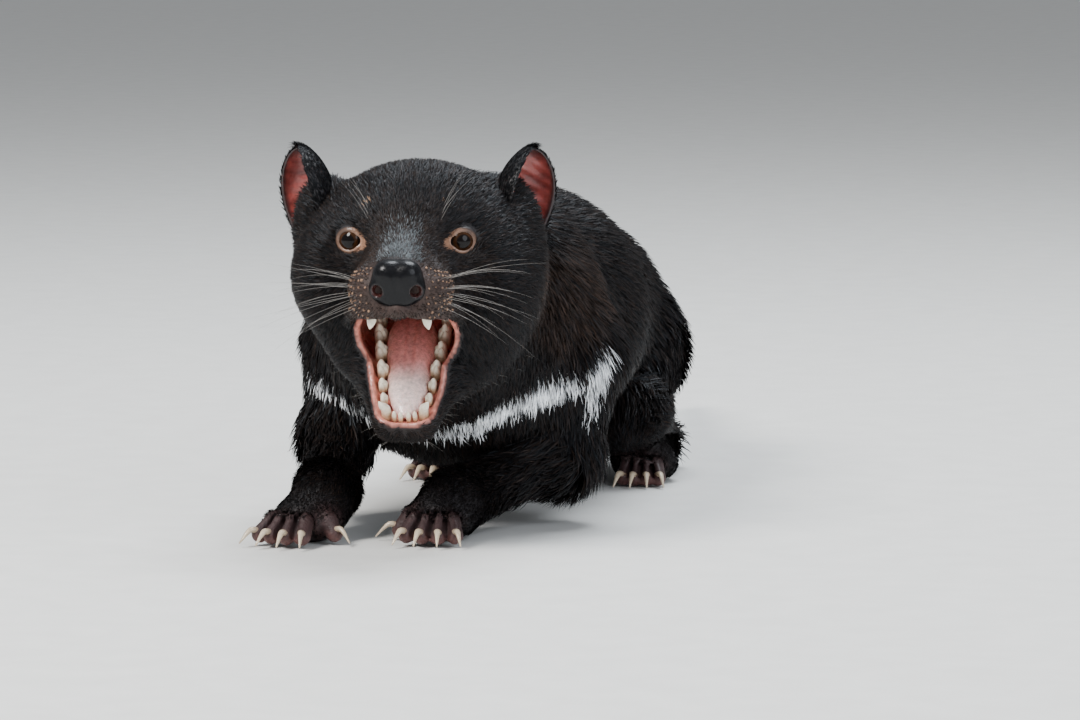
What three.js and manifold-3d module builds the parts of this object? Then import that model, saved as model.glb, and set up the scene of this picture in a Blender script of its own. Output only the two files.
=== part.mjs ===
// A Tasmanian devil, life size, crouched on its forefeet with its head up and its mouth wide open.
// Millimetres, +Z up. The animal faces -Y and its own left side is +X. The outline is that of the short
// coat. The body is one blended form, cut into a head, neck, torso, limbs and tail by thin flat cuts.
// The origin is on the floor, under the middle of the whole animal's box.

import * as THREE from "three";
import { mergeVertices } from "three/addons/utils/BufferGeometryUtils.js";
import Module from "manifold-3d";

const wasm = await Module();
wasm.setup();

// Driving dimensions
const GAP = 0.3; // clearance between neighbouring pieces
const EYES = [4, -239, 163]; // midpoint between the eyes, the origin of the head's own frame
const HEAD_YAW = 10; // degrees that the head turns to the animal's left
const JAW_HINGE = [0, 50, -22]; // in the head's frame
const GAPE = 37; // degrees that the lower jaw is dropped
const EYE_CENTRE = [27.6, -1, 0.6]; // left eye, in the head's frame
const EYE_RADIUS = 8.4;
const EYE_TURN = 20; // degrees that each eye looks outwards
const TAIL = { root: [0, 178, 92], tip: [-10, 398, 36], rootRadius: 23, tipRadius: 8 };
const TOE_RADIUS = 5.6;
const CLAW_LENGTH = 13;

const rad = THREE.MathUtils.degToRad;
const both = [1, -1]; // left and right

// Frames: a point of the head or jaw in its own axes, in the animal's
const headFrame = new THREE.Matrix4()
  .makeTranslation(...EYES)
  .multiply(new THREE.Matrix4().makeRotationZ(rad(HEAD_YAW)));
const jawFrame = headFrame
  .clone()
  .multiply(new THREE.Matrix4().makeTranslation(...JAW_HINGE))
  .multiply(new THREE.Matrix4().makeRotationX(rad(GAPE)))
  .multiply(new THREE.Matrix4().makeTranslation(...JAW_HINGE.map((c) => -c)));
const bodyFrame = new THREE.Matrix4();

// Distance fields: each is a function of x, y, z in the animal's axes, below 0 inside

// Calls a field with the point in a frame's own axes.
function within(frame, field) {
  const e = frame.clone().invert().elements;
  return (x, y, z) =>
    field(
      e[0] * x + e[4] * y + e[8] * z + e[12],
      e[1] * x + e[5] * y + e[9] * z + e[13],
      e[2] * x + e[6] * y + e[10] * z + e[14],
    );
}

function ellipsoid([cx, cy, cz], [rx, ry, rz]) {
  return (x, y, z) => {
    const [a, b, c] = [(x - cx) / rx, (y - cy) / ry, (z - cz) / rz];
    const near = Math.hypot(a, b, c);
    const slope = Math.hypot(a / rx, b / ry, c / rz);
    return slope < 1e-9 ? -Math.min(rx, ry, rz) : (near * (near - 1)) / slope;
  };
}

// A ball whose radius goes from ra to rb as it slides from a to b.
function limb(a, ra, b, rb) {
  const d = b.map((c, i) => c - a[i]);
  const square = d[0] ** 2 + d[1] ** 2 + d[2] ** 2;
  return (x, y, z) => {
    const [px, py, pz] = [x - a[0], y - a[1], z - a[2]];
    const t = Math.min(1, Math.max(0, (px * d[0] + py * d[1] + pz * d[2]) / square));
    return Math.hypot(px - t * d[0], py - t * d[1], pz - t * d[2]) - ra - t * (rb - ra);
  };
}

// Two fields joined with a fillet about blend wide.
function smooth(a, b, blend) {
  const h = Math.max(blend - Math.abs(a - b), 0) / blend;
  return Math.min(a, b) - (h * h * blend) / 4;
}

// [field, blend] pairs joined in order.
function joined(list) {
  return (x, y, z) => list.reduce((sum, [field, blend]) => smooth(sum, field(x, y, z), blend), 1e3);
}

// The first field with the others, [field, blend] pairs, hollowed out of it.
function carved(field, list) {
  return (x, y, z) => list.reduce((sum, [cut, blend]) => -smooth(-sum, cut(x, y, z), blend), field(x, y, z));
}

// A left-side point on side s: 1 is left, -1 is right
const mirror = ([x, y, z], s) => [s * x, y, z];
const at = (frame, p) => new THREE.Vector3(...p).applyMatrix4(frame);

// Head: cranium, brow, cheeks, muzzle with its whisker pads, and shallow orbits for the eyes
const eyeFrame = (s) =>
  headFrame
    .clone()
    .multiply(new THREE.Matrix4().makeTranslation(...mirror(EYE_CENTRE, s)))
    .multiply(new THREE.Matrix4().makeRotationZ(rad(s * EYE_TURN)));
const PAD_CENTRE = [13, -33, -21.5];
const skull = joined([
  [ellipsoid([0, 42, 0], [48, 50, 37]), 1],
  [ellipsoid([0, 14, -1], [35, 38, 28]), 16],
  ...both.map((s) => [ellipsoid([s * 37, 30, -20], [26, 38, 31]), 18]),
  ...both.map((s) => [ellipsoid([s * 47, 50, 4], [17, 18, 26]), 14]),
  [limb([0, 8, -13], 27, [0, -34, -18], 17.5), 12],
  ...both.map((s) => [ellipsoid(mirror(PAD_CENTRE, s), [14.5, 23, 13.5]), 8]),
  [limb([0, -8, -1], 16, [0, -44, -13], 9.5), 10],
  [ellipsoid([0, 46, -48], [41, 35, 40]), 22],
]);
const orbits = both.map((s) => [ellipsoid([s * 33, -18, 1], [12, 9, 9]), 7]);

// Lower jaw, in the closed position of the head's axes
const jawBone = joined([
  ...both.map((s) => [limb([s * 26, 34, -42], 17, [s * 7.5, -41, -43], 9.8), 8]),
  [limb([0, 20, -53], 15, [0, -36, -47], 8.5), 10],
]);
const tongueBed = joined(both.map((s) => [limb([s * 10, 28, -31], 15, [s * 5, -38, -34], 8.2), 4]));
const palate = joined(both.map((s) => [limb([s * 9, 30, -48], 18, [s * 6.5, -37, -46], 13.5), 4]));

const headField = within(headFrame, carved(skull, [...orbits, [palate, 5]]));
const jawField = within(jawFrame, carved(jawBone, [[tongueBed, 4]]));
const throatHollow = within(headFrame, ellipsoid([0, 10, -50], [22, 27, 20]));

// Neck and trunk
const trunk = joined([
  [ellipsoid([-2, -98, 106], [74, 82, 74]), 1],
  [ellipsoid([0, 0, 102], [72, 112, 73]), 30],
  [ellipsoid([0, 106, 84], [62, 82, 68]), 30],
  [limb([3, -184, 134], 57, [0, -128, 116], 70), 30],
]);

// Legs, each a chain of [point, radius] joints. The forefeet reach forward.
const FORELEGS = {
  left: {
    shoulder: [[56, -108, 92], 33],
    elbow: [[55, -112, 40], 21],
    wrist: [[12, -176, 19], 13.5],
  },
  right: {
    shoulder: [[-55, -110, 94], 33],
    elbow: [[-61, -138, 50], 20],
    wrist: [[-52, -196, 25], 13.5],
  },
};
const HINDLEGS = {
  left: { hip: [[34, 122, 72], 38], knee: [[48, 64, 42], 23], heel: [[54, 134, 17], 13] },
  right: { hip: [[-34, 122, 72], 38], knee: [[-48, 64, 42], 23], heel: [[-54, 134, 17], 13] },
};
const LEG_END = 12; // radius where a leg meets its palm
const bones = (...joints) =>
  joints.slice(1).map(([point, radius], i) => [limb(joints[i][0], joints[i][1], point, radius), 16]);

// Feet: toes fan out from a palm. Angles are degrees from straight ahead, towards the animal's left.
const FEET = {
  forefoot_left: { palm: [9, -190, 12], heading: 4, toes: [-24, -8, 8, 24], thumb: -72, length: 20 },
  forefoot_right: { palm: [-58, -211, 12], heading: -14, toes: [-24, -8, 8, 24], thumb: 68, length: 20 },
  hindfoot_left: { palm: [58, 80, 11], heading: 8, toes: [-20, -7, 6, 19], length: 18 },
  hindfoot_right: { palm: [-58, 80, 11], heading: -8, toes: [-19, -6, 7, 20], length: 18 },
};
const ahead = (angle, reach, [x, y, z], rise = 0) => [
  x + reach * Math.sin(rad(angle)),
  y - reach * Math.cos(rad(angle)),
  z + rise,
];

// Where each toe starts, bends and ends, and which way its claw goes.
function toesOf({ palm, heading, toes, thumb, length }) {
  const fan = toes.map((angle) => ({ angle: heading + angle, reach: 12, long: length }));
  if (thumb !== undefined) fan.push({ angle: heading + thumb, reach: 10, long: 12 });
  return fan.map(({ angle, reach, long }) => {
    const root = ahead(angle, reach, palm, -1);
    const knuckle = ahead(angle, long * 0.5, root, 1.5);
    const tip = ahead(angle, long, root, -5);
    return { angle, root, knuckle, tip };
  });
}
const footField = (foot) => [
  [ellipsoid(foot.palm, [19, 19, 12]), 8],
  ...toesOf(foot).flatMap(({ root, knuckle, tip }) => [
    [limb(root, TOE_RADIUS + 0.8, knuckle, TOE_RADIUS), 3],
    [limb(knuckle, TOE_RADIUS, tip, TOE_RADIUS - 0.6), 2],
  ]),
];

const foreleg = ({ shoulder, elbow, wrist }, foot) => [
  ...bones(shoulder, elbow, wrist, [FEET[foot].palm, LEG_END]),
  ...footField(FEET[foot]),
];
const hindleg = ({ hip, knee, heel }, foot) => [
  ...bones(hip, knee, heel),
  [limb(heel[0], LEG_END, FEET[foot].palm, LEG_END), 10],
  ...footField(FEET[foot]),
];
const legs = [
  ...foreleg(FORELEGS.left, "forefoot_left"),
  ...foreleg(FORELEGS.right, "forefoot_right"),
  ...hindleg(HINDLEGS.left, "hindfoot_left"),
  ...hindleg(HINDLEGS.right, "hindfoot_right"),
];
const tail = limb(TAIL.root, TAIL.rootRadius, TAIL.tip, TAIL.tipRadius);

// The whole flesh form. The mouth's hollow is carved after the jaw and neck are blended in.
const flesh = carved(
  joined([[headField, 1], [jawField, 7], [trunk, 26], ...legs, [tail, 26]]),
  [[throatHollow, 6], [within(jawFrame, tongueBed), 4], [within(headFrame, palate), 5]],
);

// Grid lines from a start, through [end, spacing] stretches.
function lines(start, ...stretches) {
  const list = [start];
  for (const [end, spacing] of stretches) {
    const from = list.at(-1);
    const count = Math.max(1, Math.round((end - from) / spacing));
    for (let i = 1; i <= count; i++) list.push(from + ((end - from) * i) / count);
  }
  return list;
}
const even = (low, high, spacing) => low.map((c, i) => lines(c, [high[i], spacing]));

// Turns a field into a closed mesh: one point in each cell of a frame's grid that the surface crosses,
// moved onto the surface along its slope, and one square round each grid edge that crosses it.
function meshOf(field, grid, frame = bodyFrame) {
  const e = frame.elements;
  const local = (x, y, z) =>
    field(
      e[0] * x + e[4] * y + e[8] * z + e[12],
      e[1] * x + e[5] * y + e[9] * z + e[13],
      e[2] * x + e[6] * y + e[10] * z + e[14],
    );
  const n = grid.map((list) => list.length);
  const index = (i, j, k) => i + n[0] * (j + n[1] * k);
  const value = new Float64Array(n[0] * n[1] * n[2]);
  for (let k = 0; k < n[2]; k++)
    for (let j = 0; j < n[1]; j++)
      for (let i = 0; i < n[0]; i++) {
        const border = i === 0 || j === 0 || k === 0 || i === n[0] - 1 || j === n[1] - 1 || k === n[2] - 1;
        const v = local(grid[0][i], grid[1][j], grid[2][k]);
        value[index(i, j, k)] = border ? Math.max(v, 1) : v;
      }
  const points = [];
  const cell = new Int32Array(value.length).fill(-1);
  for (let k = 0; k < n[2] - 1; k++)
    for (let j = 0; j < n[1] - 1; j++)
      for (let i = 0; i < n[0] - 1; i++) {
        const here = [i, j, k];
        const sum = [0, 0, 0];
        let crossings = 0;
        for (const axis of [0, 1, 2])
          for (const [a, b] of [[0, 0], [1, 0], [0, 1], [1, 1]]) {
            const start = here.slice();
            start[(axis + 1) % 3] += a;
            start[(axis + 2) % 3] += b;
            const end = start.slice();
            end[axis]++;
            const v0 = value[index(...start)];
            const v1 = value[index(...end)];
            if (v0 < 0 === v1 < 0) continue;
            const t = v0 / (v0 - v1);
            for (const m of [0, 1, 2]) sum[m] += grid[m][start[m]] * (1 - t) + grid[m][end[m]] * t;
            crossings++;
          }
        if (!crossings) continue;
        cell[index(i, j, k)] = points.length;
        const inner = here.every((c, m) => c > 0 && c < n[m] - 2);
        const size = Math.min(...here.map((c, m) => grid[m][c + 1] - grid[m][c]));
        const middle = sum.map((c) => c / crossings);
        points.push(inner ? settled(middle, local, size / 3) : middle);
      }
  const faces = [];
  for (let k = 0; k < n[2] - 1; k++)
    for (let j = 0; j < n[1] - 1; j++)
      for (let i = 0; i < n[0] - 1; i++)
        for (const axis of [0, 1, 2]) {
          const here = [i, j, k];
          const next = here.slice();
          next[axis]++;
          const inside = value[index(...here)] < 0;
          if (inside === value[index(...next)] < 0) continue;
          const [b, c] = [(axis + 1) % 3, (axis + 2) % 3];
          const corner = (db, dc) => {
            const q = here.slice();
            q[b] -= db;
            q[c] -= dc;
            return cell[index(...q)];
          };
          const square = [corner(1, 1), corner(0, 1), corner(0, 0), corner(1, 0)];
          if (!inside) square.reverse();
          const gap = (p, q) => Math.hypot(...[0, 1, 2].map((m) => points[p][m] - points[q][m]));
          const cut = gap(square[0], square[2]) < gap(square[1], square[3]) ? 0 : 1;
          const [p, q, r, t] = [0, 1, 2, 3].map((m) => square[(m + cut) % 4]);
          faces.push(p, q, r, p, r, t);
        }
  return new THREE.BufferGeometry()
    .setAttribute("position", new THREE.Float32BufferAttribute(points.flat(), 3))
    .setIndex(faces)
    .applyMatrix4(frame);
}

// A mesh point moved onto the surface along its slope, at most some distance along each axis.
function settled(point, field, most) {
  const probe = 0.2;
  const moved = point.slice();
  for (let round = 0; round < 3; round++) {
    const v = field(...moved);
    const slope = [0, 1, 2].map((m) => {
      const q = moved.slice();
      q[m] += probe;
      return (field(...q) - v) / probe;
    });
    const square = slope[0] ** 2 + slope[1] ** 2 + slope[2] ** 2;
    if (square < 0.05) break;
    slope.forEach((g, m) => {
      moved[m] = point[m] + Math.max(-most, Math.min(most, moved[m] - (v * g) / square - point[m]));
    });
  }
  return moved;
}

// Solids: joining, cutting and back to three.js

function solid(geometry) {
  const bare = geometry.clone();
  bare.deleteAttribute("normal");
  bare.deleteAttribute("uv");
  const merged = mergeVertices(bare, 1e-4);
  return new wasm.Manifold(
    new wasm.Mesh({
      numProp: 3,
      vertProperties: merged.attributes.position.array,
      triVerts: new Uint32Array(merged.index.array),
    }),
  );
}
const largest = (made) => made.decompose().sort((a, b) => b.volume() - a.volume())[0];
const fused = (first, others) => others.reduce((sum, s) => sum.add(s), first);
const without = (first, others) => others.reduce((sum, s) => sum.subtract(s), first);

// A block that is open-ended for cutting: size, place and turn, in a frame.
function block(size, centre, frame = bodyFrame, [tx, ty, tz] = [0, 0, 0]) {
  return (grow = 0) => {
    const box = new THREE.BoxGeometry(...size.map((c) => c + 2 * grow));
    box.applyMatrix4(new THREE.Matrix4().makeRotationFromEuler(new THREE.Euler(rad(tx), rad(ty), rad(tz))));
    box.applyMatrix4(new THREE.Matrix4().makeTranslation(...centre));
    return solid(box.applyMatrix4(frame));
  };
}

// A closed, tapered body along a list of points, for claws, teeth and nostrils.
function taper(points, radii, sides, squash = 1) {
  const curve = new THREE.CatmullRomCurve3(points.map((p) => new THREE.Vector3(...p)));
  const steps = radii.length - 1;
  const frames = curve.computeFrenetFrames(steps, false);
  const position = [];
  for (let i = 0; i <= steps; i++) {
    const centre = curve.getPointAt(i / steps);
    for (let j = 0; j < sides; j++) {
      const angle = (2 * Math.PI * j) / sides;
      const p = centre
        .clone()
        .addScaledVector(frames.normals[i], radii[i] * Math.cos(angle))
        .addScaledVector(frames.binormals[i], radii[i] * Math.sin(angle) * squash);
      position.push(p.x, p.y, p.z);
    }
  }
  position.push(...curve.getPointAt(0).toArray(), ...curve.getPointAt(1).toArray());
  const [start, end] = [sides * (steps + 1), sides * (steps + 1) + 1];
  const faces = [];
  for (let j = 0; j < sides; j++) {
    const next = (j + 1) % sides;
    faces.push(start, next, j, end, sides * steps + j, sides * steps + next);
    for (let i = 0; i < steps; i++) {
      const [a, b, c, d] = [i * sides + j, i * sides + next, (i + 1) * sides + next, (i + 1) * sides + j];
      faces.push(a, b, c, a, c, d);
    }
  }
  return solid(
    new THREE.BufferGeometry()
      .setAttribute("position", new THREE.Float32BufferAttribute(position, 3))
      .setIndex(faces),
  );
}

// Teeth: for each side, where each stands along its row, how tall and how wide it is, and in which frame
function tooth(frame, { x, y, gum, height, width, lean = 0 }) {
  const points = [
    [x, y, gum - height * 0.5],
    [x, y, gum + height * 0.3],
    [x + lean * 0.5, y - Math.abs(lean) * 0.8, gum + height * 0.75],
    [x + lean, y, gum + height],
  ].map((p) => at(frame, p).toArray());
  return taper(points, [width, width, width * 0.75, width * 0.22], 5);
}
// [how far back, how far out, height, width, lean outwards], from the front to the back of the row
const UPPER_ROW = [
  [-46.5, 2.3, 4, 1.5, 0],
  [-46, 6, 4, 1.5, 0],
  [-43, 14, 10.5, 2.9, 1.2],
  [-34, 16.5, 5.5, 2.3, 0],
  [-26, 18.5, 6, 2.7, 0],
  [-17, 20.5, 7, 3.4, 0],
  [-7, 22, 7.5, 3.8, 0],
];
const LOWER_ROW = [
  [-44, 2.1, 4.5, 1.3, 0],
  [-43.5, 5.4, 4.5, 1.3, 0],
  [-41, 9.8, 11, 2.6, 3],
  [-30, 12, 5, 2.1, 0],
  [-20, 13.4, 6, 2.5, 0],
  [-8.6, 14.5, 8.4, 3.2, 0],
  [5, 16.2, 9.4, 3.6, 0],
  [18, 17.4, 9.5, 3.7, 0],
  [30, 18.4, 8.5, 3.5, 0],
];
const UPPER_GUM = -31;
const LOWER_GUM = -37.6;
const teethOf = (frame, row, gum, up, grow = 0) =>
  both.flatMap((s) =>
    row.map(([y, x, height, width, lean]) =>
      tooth(frame, { x: s * x, y, gum, height: up * (height + grow), width: width + grow, lean: s * lean }),
    ),
  );
const upperTeeth = teethOf(headFrame, UPPER_ROW, UPPER_GUM, -1);
const lowerTeeth = teethOf(jawFrame, LOWER_ROW, LOWER_GUM, 1);

// Claws: one on each toe, curving forward and down to just above the floor
function claw({ angle, tip }) {
  const root = ahead(angle, -1, tip, 1.5);
  const crest = ahead(angle, CLAW_LENGTH * 0.5, tip, 2.6);
  const point = ahead(angle, CLAW_LENGTH, tip, -3.6);
  return taper([root, crest, point], [2.3, 2.2, 1.5, 0.45], 5);
}

// Ear: a scoop, wide at its middle, round at its top and thin at its rim, open forwards and outwards
const EAR = { root: [50, 50, -6], height: 52, width: 18.5, depth: 15, lean: 4, splay: 17, turn: 60 };
const [ACROSS, ALONG] = [9, 9]; // facets round the scoop and up it
function earPoint(u, v, thick) {
  const half = Math.max(0.03, Math.sqrt(1 - v ** 4)) * (0.74 + 0.36 * Math.sin(Math.PI * v * 0.8));
  const angle = u * rad(98);
  const grow = thick * (1.2 + 2.4 * (1 - v)) * Math.cos(0.8 * u);
  return [
    (EAR.width * half + grow) * Math.sin(angle),
    (EAR.depth * half + grow) * (Math.cos(angle) - 0.3),
    EAR.height * v + thick * v * 1.2,
  ];
}
function ear(s) {
  const frame = headFrame
    .clone()
    .multiply(new THREE.Matrix4().makeTranslation(...mirror(EAR.root, s)))
    .multiply(new THREE.Matrix4().makeRotationY(rad(s * EAR.splay)))
    .multiply(new THREE.Matrix4().makeRotationZ(rad(s * EAR.turn)))
    .multiply(new THREE.Matrix4().makeRotationX(rad(-EAR.lean)));
  const position = [];
  for (const side of [0, 1])
    for (let i = 0; i <= ALONG; i++)
      for (let j = 0; j <= ACROSS; j++)
        position.push(...at(frame, earPoint((2 * j) / ACROSS - 1, i / ALONG, side)).toArray());
  const spot = (side, i, j) => (side * (ALONG + 1) + i) * (ACROSS + 1) + j;
  const faces = [];
  const quad = (a, b, c, d) => faces.push(a, b, c, a, c, d);
  for (let i = 0; i < ALONG; i++)
    for (let j = 0; j < ACROSS; j++) {
      quad(spot(0, i, j), spot(0, i, j + 1), spot(0, i + 1, j + 1), spot(0, i + 1, j));
      quad(spot(1, i, j), spot(1, i + 1, j), spot(1, i + 1, j + 1), spot(1, i, j + 1));
    }
  for (let i = 0; i < ALONG; i++) {
    quad(spot(0, i, 0), spot(0, i + 1, 0), spot(1, i + 1, 0), spot(1, i, 0));
    quad(spot(0, i, ACROSS), spot(1, i, ACROSS), spot(1, i + 1, ACROSS), spot(0, i + 1, ACROSS));
  }
  for (let j = 0; j < ACROSS; j++) {
    quad(spot(0, 0, j), spot(1, 0, j), spot(1, 0, j + 1), spot(0, 0, j + 1));
    quad(spot(0, ALONG, j), spot(0, ALONG, j + 1), spot(1, ALONG, j + 1), spot(1, ALONG, j));
  }
  return solid(
    new THREE.BufferGeometry()
      .setAttribute("position", new THREE.Float32BufferAttribute(position, 3))
      .setIndex(faces),
  );
}

// Nose pad with its wings and nostrils, and tongue with its middle groove
const noseField = within(
  headFrame,
  joined([
    [ellipsoid([0, -53, -15], [10.5, 9, 10]), 1],
    ...both.map((s) => [ellipsoid([s * 8.6, -52.5, -20], [6.4, 7.5, 6.8]), 5]),
    [ellipsoid([0, -52, -25.5], [8, 6, 5]), 5],
  ]),
);
const NOSTRIL = {
  line: [[9.8, -66, -21], [8.6, -58, -20.5], [6.5, -51, -19.5]],
  radii: [4.4, 3.2, 1.4],
};
const nostrils = both.map((s) => {
  const line = NOSTRIL.line.map((p) => at(headFrame, mirror(p, s)).toArray());
  return taper(line, NOSTRIL.radii, 8);
});
const tongueField = within(
  jawFrame,
  carved(
    joined([
      [ellipsoid([0, -8, -39.5], [11.5, 34, 6]), 1],
      [ellipsoid([0, 14, -37], [13, 22, 8.5]), 8],
    ]),
    [[limb([0, 26, -26], 1.4, [0, -34, -33.4], 1.2), 3]],
  ),
);

// Cuts: blocks whose flat faces part the flesh. Each node is the flesh inside its block.
const HEAD_BACK = 64; // in the head's frame
const NECK_BACK = -132;
const TAIL_START = 196;
const headBlock = block([260, 260, 300], [0, HEAD_BACK - 130, 10], headFrame);
const jawBlock = block([104, 150, 130], [0, -24, -114], headFrame, [GAPE * 0.5, 0, 0]);
const neckBlock = block([320, 200, 320], [0, NECK_BACK - 100, 150], bodyFrame, [12, 0, 0]);
const tailBlock = block([160, 300, 200], [0, TAIL_START + 150, 80]);
const floorBlock = solid(new THREE.BoxGeometry(400, 1000, 100).translate(0, 0, -50));
function footBlock({ palm, heading }, [width, length, height], back) {
  const centre = ahead(heading, length / 2 - back, [palm[0], palm[1], 0]);
  return block([width, length, height], centre, bodyFrame, [0, 0, heading]);
}
const blocks = {};
for (const s of both) {
  const side = s === 1 ? "left" : "right";
  blocks[`upper_foreleg_${side}`] = block([80, 110, 96], [s * 84, -118, 44], bodyFrame, [0, s * 24, 0]);
  blocks[`forepaw_${side}`] = footBlock(FEET[`forefoot_${side}`], [84, 90, 72], 17);
  blocks[`thigh_${side}`] = block([90, 150, 96], [s * 82, 96, 44], bodyFrame, [0, s * 12, 0]);
  blocks[`hindfoot_${side}`] = block([64, 130, 48], [s * 62, 92, 0]);
}
blocks.forearm_left = block([110, 100, 74], [30, -178, 10], bodyFrame, [0, 0, 34]);
blocks.forearm_right = block([74, 90, 96], [-68, -190, 10], bodyFrame, [0, 0, -6]);

// The flesh inside some blocks and outside others, with pieces that grow from it, stood on the floor.
function part(mesh, inside, outside, grown = []) {
  const kept = inside.reduce((sum, cutter) => sum.intersect(cutter()), fused(solid(mesh), grown));
  return largest(without(kept, [...outside.map((cutter) => cutter(GAP)), floorBlock]));
}

const HEAD_GRID = [
  lines(-84, [-40, 11], [-16, 5.5], [16, 5.2], [40, 5.5], [84, 11]),
  lines(-74, [12, 5.4], [92, 11]),
  lines(-132, [-60, 7], [12, 5.4], [56, 10]),
];
const headMesh = meshOf(flesh, HEAD_GRID, headFrame);
const grownHead = solid(meshOf((x, y, z) => flesh(x, y, z) - GAP, HEAD_GRID, headFrame));
const ball = (s, radius) =>
  solid(new THREE.SphereGeometry(radius, 12, 9).rotateX(Math.PI / 2).applyMatrix4(eyeFrame(s)));

// Lids are a shell round the eyeball, with an opening that is pointed towards the nose.
const LID = 2.1;
const OPENING = { width: 6.3, height: 4.5, inner: 1.3 };
function eyeOpening(s) {
  const sides = 12;
  const position = [];
  for (const [reach, flare] of [[EYE_RADIUS * 0.35, 0.8], [EYE_RADIUS + 14, 1.7]])
    for (let i = 0; i < sides; i++) {
      const angle = (2 * Math.PI * i) / sides;
      const inner = Math.cos(angle) * s < -0.8 ? OPENING.inner : 0;
      const x = OPENING.width * Math.cos(angle) - s * inner;
      position.push(x * flare, -reach, (OPENING.height * Math.sin(angle) - 0.3 * inner) * flare);
    }
  position.push(0, -EYE_RADIUS * 0.35, 0, 0, -EYE_RADIUS - 14, 0);
  const faces = [];
  for (let i = 0; i < sides; i++) {
    const next = (i + 1) % sides;
    faces.push(i, next, sides + next, i, sides + next, sides + i);
    faces.push(2 * sides, next, i, 2 * sides + 1, sides + i, sides + next);
  }
  return solid(
    new THREE.BufferGeometry()
      .setAttribute("position", new THREE.Float32BufferAttribute(position, 3))
      .setIndex(faces)
      .applyMatrix4(eyeFrame(s)),
  );
}
const noseMesh = meshOf(noseField, even([-24, -70, -38], [24, -38, 0], 3.1), headFrame);
const tongueMesh = meshOf(tongueField, even([-24, -50, -54], [24, 42, -20], 5.2), jawFrame);
const footFrame = ({ palm, heading }) =>
  new THREE.Matrix4()
    .makeTranslation(palm[0], palm[1], 0)
    .multiply(new THREE.Matrix4().makeRotationZ(rad(heading)));

const sockets = both.flatMap((s) => [ball(s, EYE_RADIUS + GAP), eyeOpening(s)]);
const lids = both.map((s) => ball(s, EYE_RADIUS + LID));
const allLegs = Object.values(blocks);
const neckMesh = meshOf(flesh, even([-110, -250, 4], [110, -110, 230], 14));
const torsoMesh = meshOf(flesh, even([-112, -210, -16], [112, 226, 222], 15.4));
const tailMesh = meshOf(flesh, even([-50, 170, 0], [50, 426, 150], 10));
const wideTeeth = teethOf(jawFrame, LOWER_ROW, LOWER_GUM, 1, 2 * GAP);
const nodes = {
  head: [without(part(headMesh, [headBlock], [jawBlock], [...upperTeeth, ...lids]), sockets), "coat"],
  jaw: [part(headMesh, [headBlock, jawBlock], [], lowerTeeth), "coat"],
  neck: [part(neckMesh, [neckBlock], [headBlock, ...allLegs]), "coat"],
  torso: [part(torsoMesh, [], [headBlock, neckBlock, tailBlock, ...allLegs]), "coat"],
  tail: [part(tailMesh, [tailBlock], []), "coat"],
  nose: [without(solid(noseMesh), [grownHead, ...nostrils]), "nose"],
  tongue: [without(solid(tongueMesh), [grownHead, ...wideTeeth]), "tongue"],
};
for (const s of both) {
  const side = s === 1 ? "left" : "right";
  const outward = (low, high) => (s === 1 ? [low, high] : [-high, -low]);
  const [near, far] = outward(4, 124);
  const forefoot = FEET[`forefoot_${side}`];
  const hindfoot = FEET[`hindfoot_${side}`];
  nodes[`eye_${side}`] = [ball(s, EYE_RADIUS), "eye"];
  nodes[`ear_${side}`] = [ear(s).subtract(grownHead), "ear"];
  nodes[`upper_foreleg_${side}`] = [
    part(
      meshOf(flesh, even([near, -200, -16], [far, -40, 126], 11)),
      [blocks[`upper_foreleg_${side}`]],
      [blocks[`forearm_${side}`], blocks[`forepaw_${side}`], headBlock],
    ),
    "coat",
  ];
  nodes[`forearm_${side}`] = [
    part(
      meshOf(flesh, even([s === 1 ? -44 : -128, -250, -14], [s === 1 ? 100 : 6, -110, 84], 8.6)),
      [blocks[`forearm_${side}`]],
      [blocks[`forepaw_${side}`], headBlock],
    ),
    "coat",
  ];
  nodes[`forepaw_${side}`] = [
    part(
      meshOf(flesh, even([-48, -80, -8], [48, 36, 48], 5.5), footFrame(forefoot)),
      [blocks[`forepaw_${side}`]],
      [],
      toesOf(forefoot).map(claw),
    ),
    "coat",
  ];
  nodes[`thigh_${side}`] = [
    part(
      meshOf(flesh, even([near, -20, -14], [far, 200, 126], 11)),
      [blocks[`thigh_${side}`]],
      [blocks[`hindfoot_${side}`]],
    ),
    "coat",
  ];
  nodes[`hindfoot_${side}`] = [
    part(
      meshOf(flesh, even([s === 1 ? 22 : -100, 14, -8], [s === 1 ? 100 : -22, 166, 34], 6.2)),
      [blocks[`hindfoot_${side}`]],
      [],
      toesOf(hindfoot).map(claw),
    ),
    "coat",
  ];
}

const MATERIALS = {
  coat: new THREE.MeshStandardMaterial({ name: "coat", color: 0x1d1a18, roughness: 0.8 }),
  nose: new THREE.MeshStandardMaterial({ name: "nose", color: 0x16181b, roughness: 0.25 }),
  tongue: new THREE.MeshStandardMaterial({ name: "tongue", color: 0xc4686a, roughness: 0.35 }),
  ear: new THREE.MeshStandardMaterial({ name: "ear", color: 0x9a4a48, roughness: 0.6 }),
  eye: new THREE.MeshStandardMaterial({ name: "eye", color: 0x120d0a, roughness: 0.1 }),
};

// Cutting can leave slivers and bubbles; the largest closed surface is the part.
function meshOfSolid(name, made, material) {
  const { vertProperties, triVerts } = largest(made).getMesh();
  const geometry = new THREE.BufferGeometry()
    .setAttribute("position", new THREE.Float32BufferAttribute(vertProperties, 3))
    .setIndex(Array.from(triVerts));
  geometry.computeVertexNormals();
  const mesh = new THREE.Mesh(geometry, material);
  mesh.name = name;
  return mesh;
}

const devil = new THREE.Group();
devil.name = "devil";
for (const [name, [made, slot]] of Object.entries(nodes)) devil.add(meshOfSolid(name, made, MATERIALS[slot]));
const box = new THREE.Box3().setFromObject(devil);
const middle = box.getCenter(new THREE.Vector3());
for (const mesh of devil.children) mesh.geometry.translate(-middle.x, -middle.y, -box.min.z);

export default devil;
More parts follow.
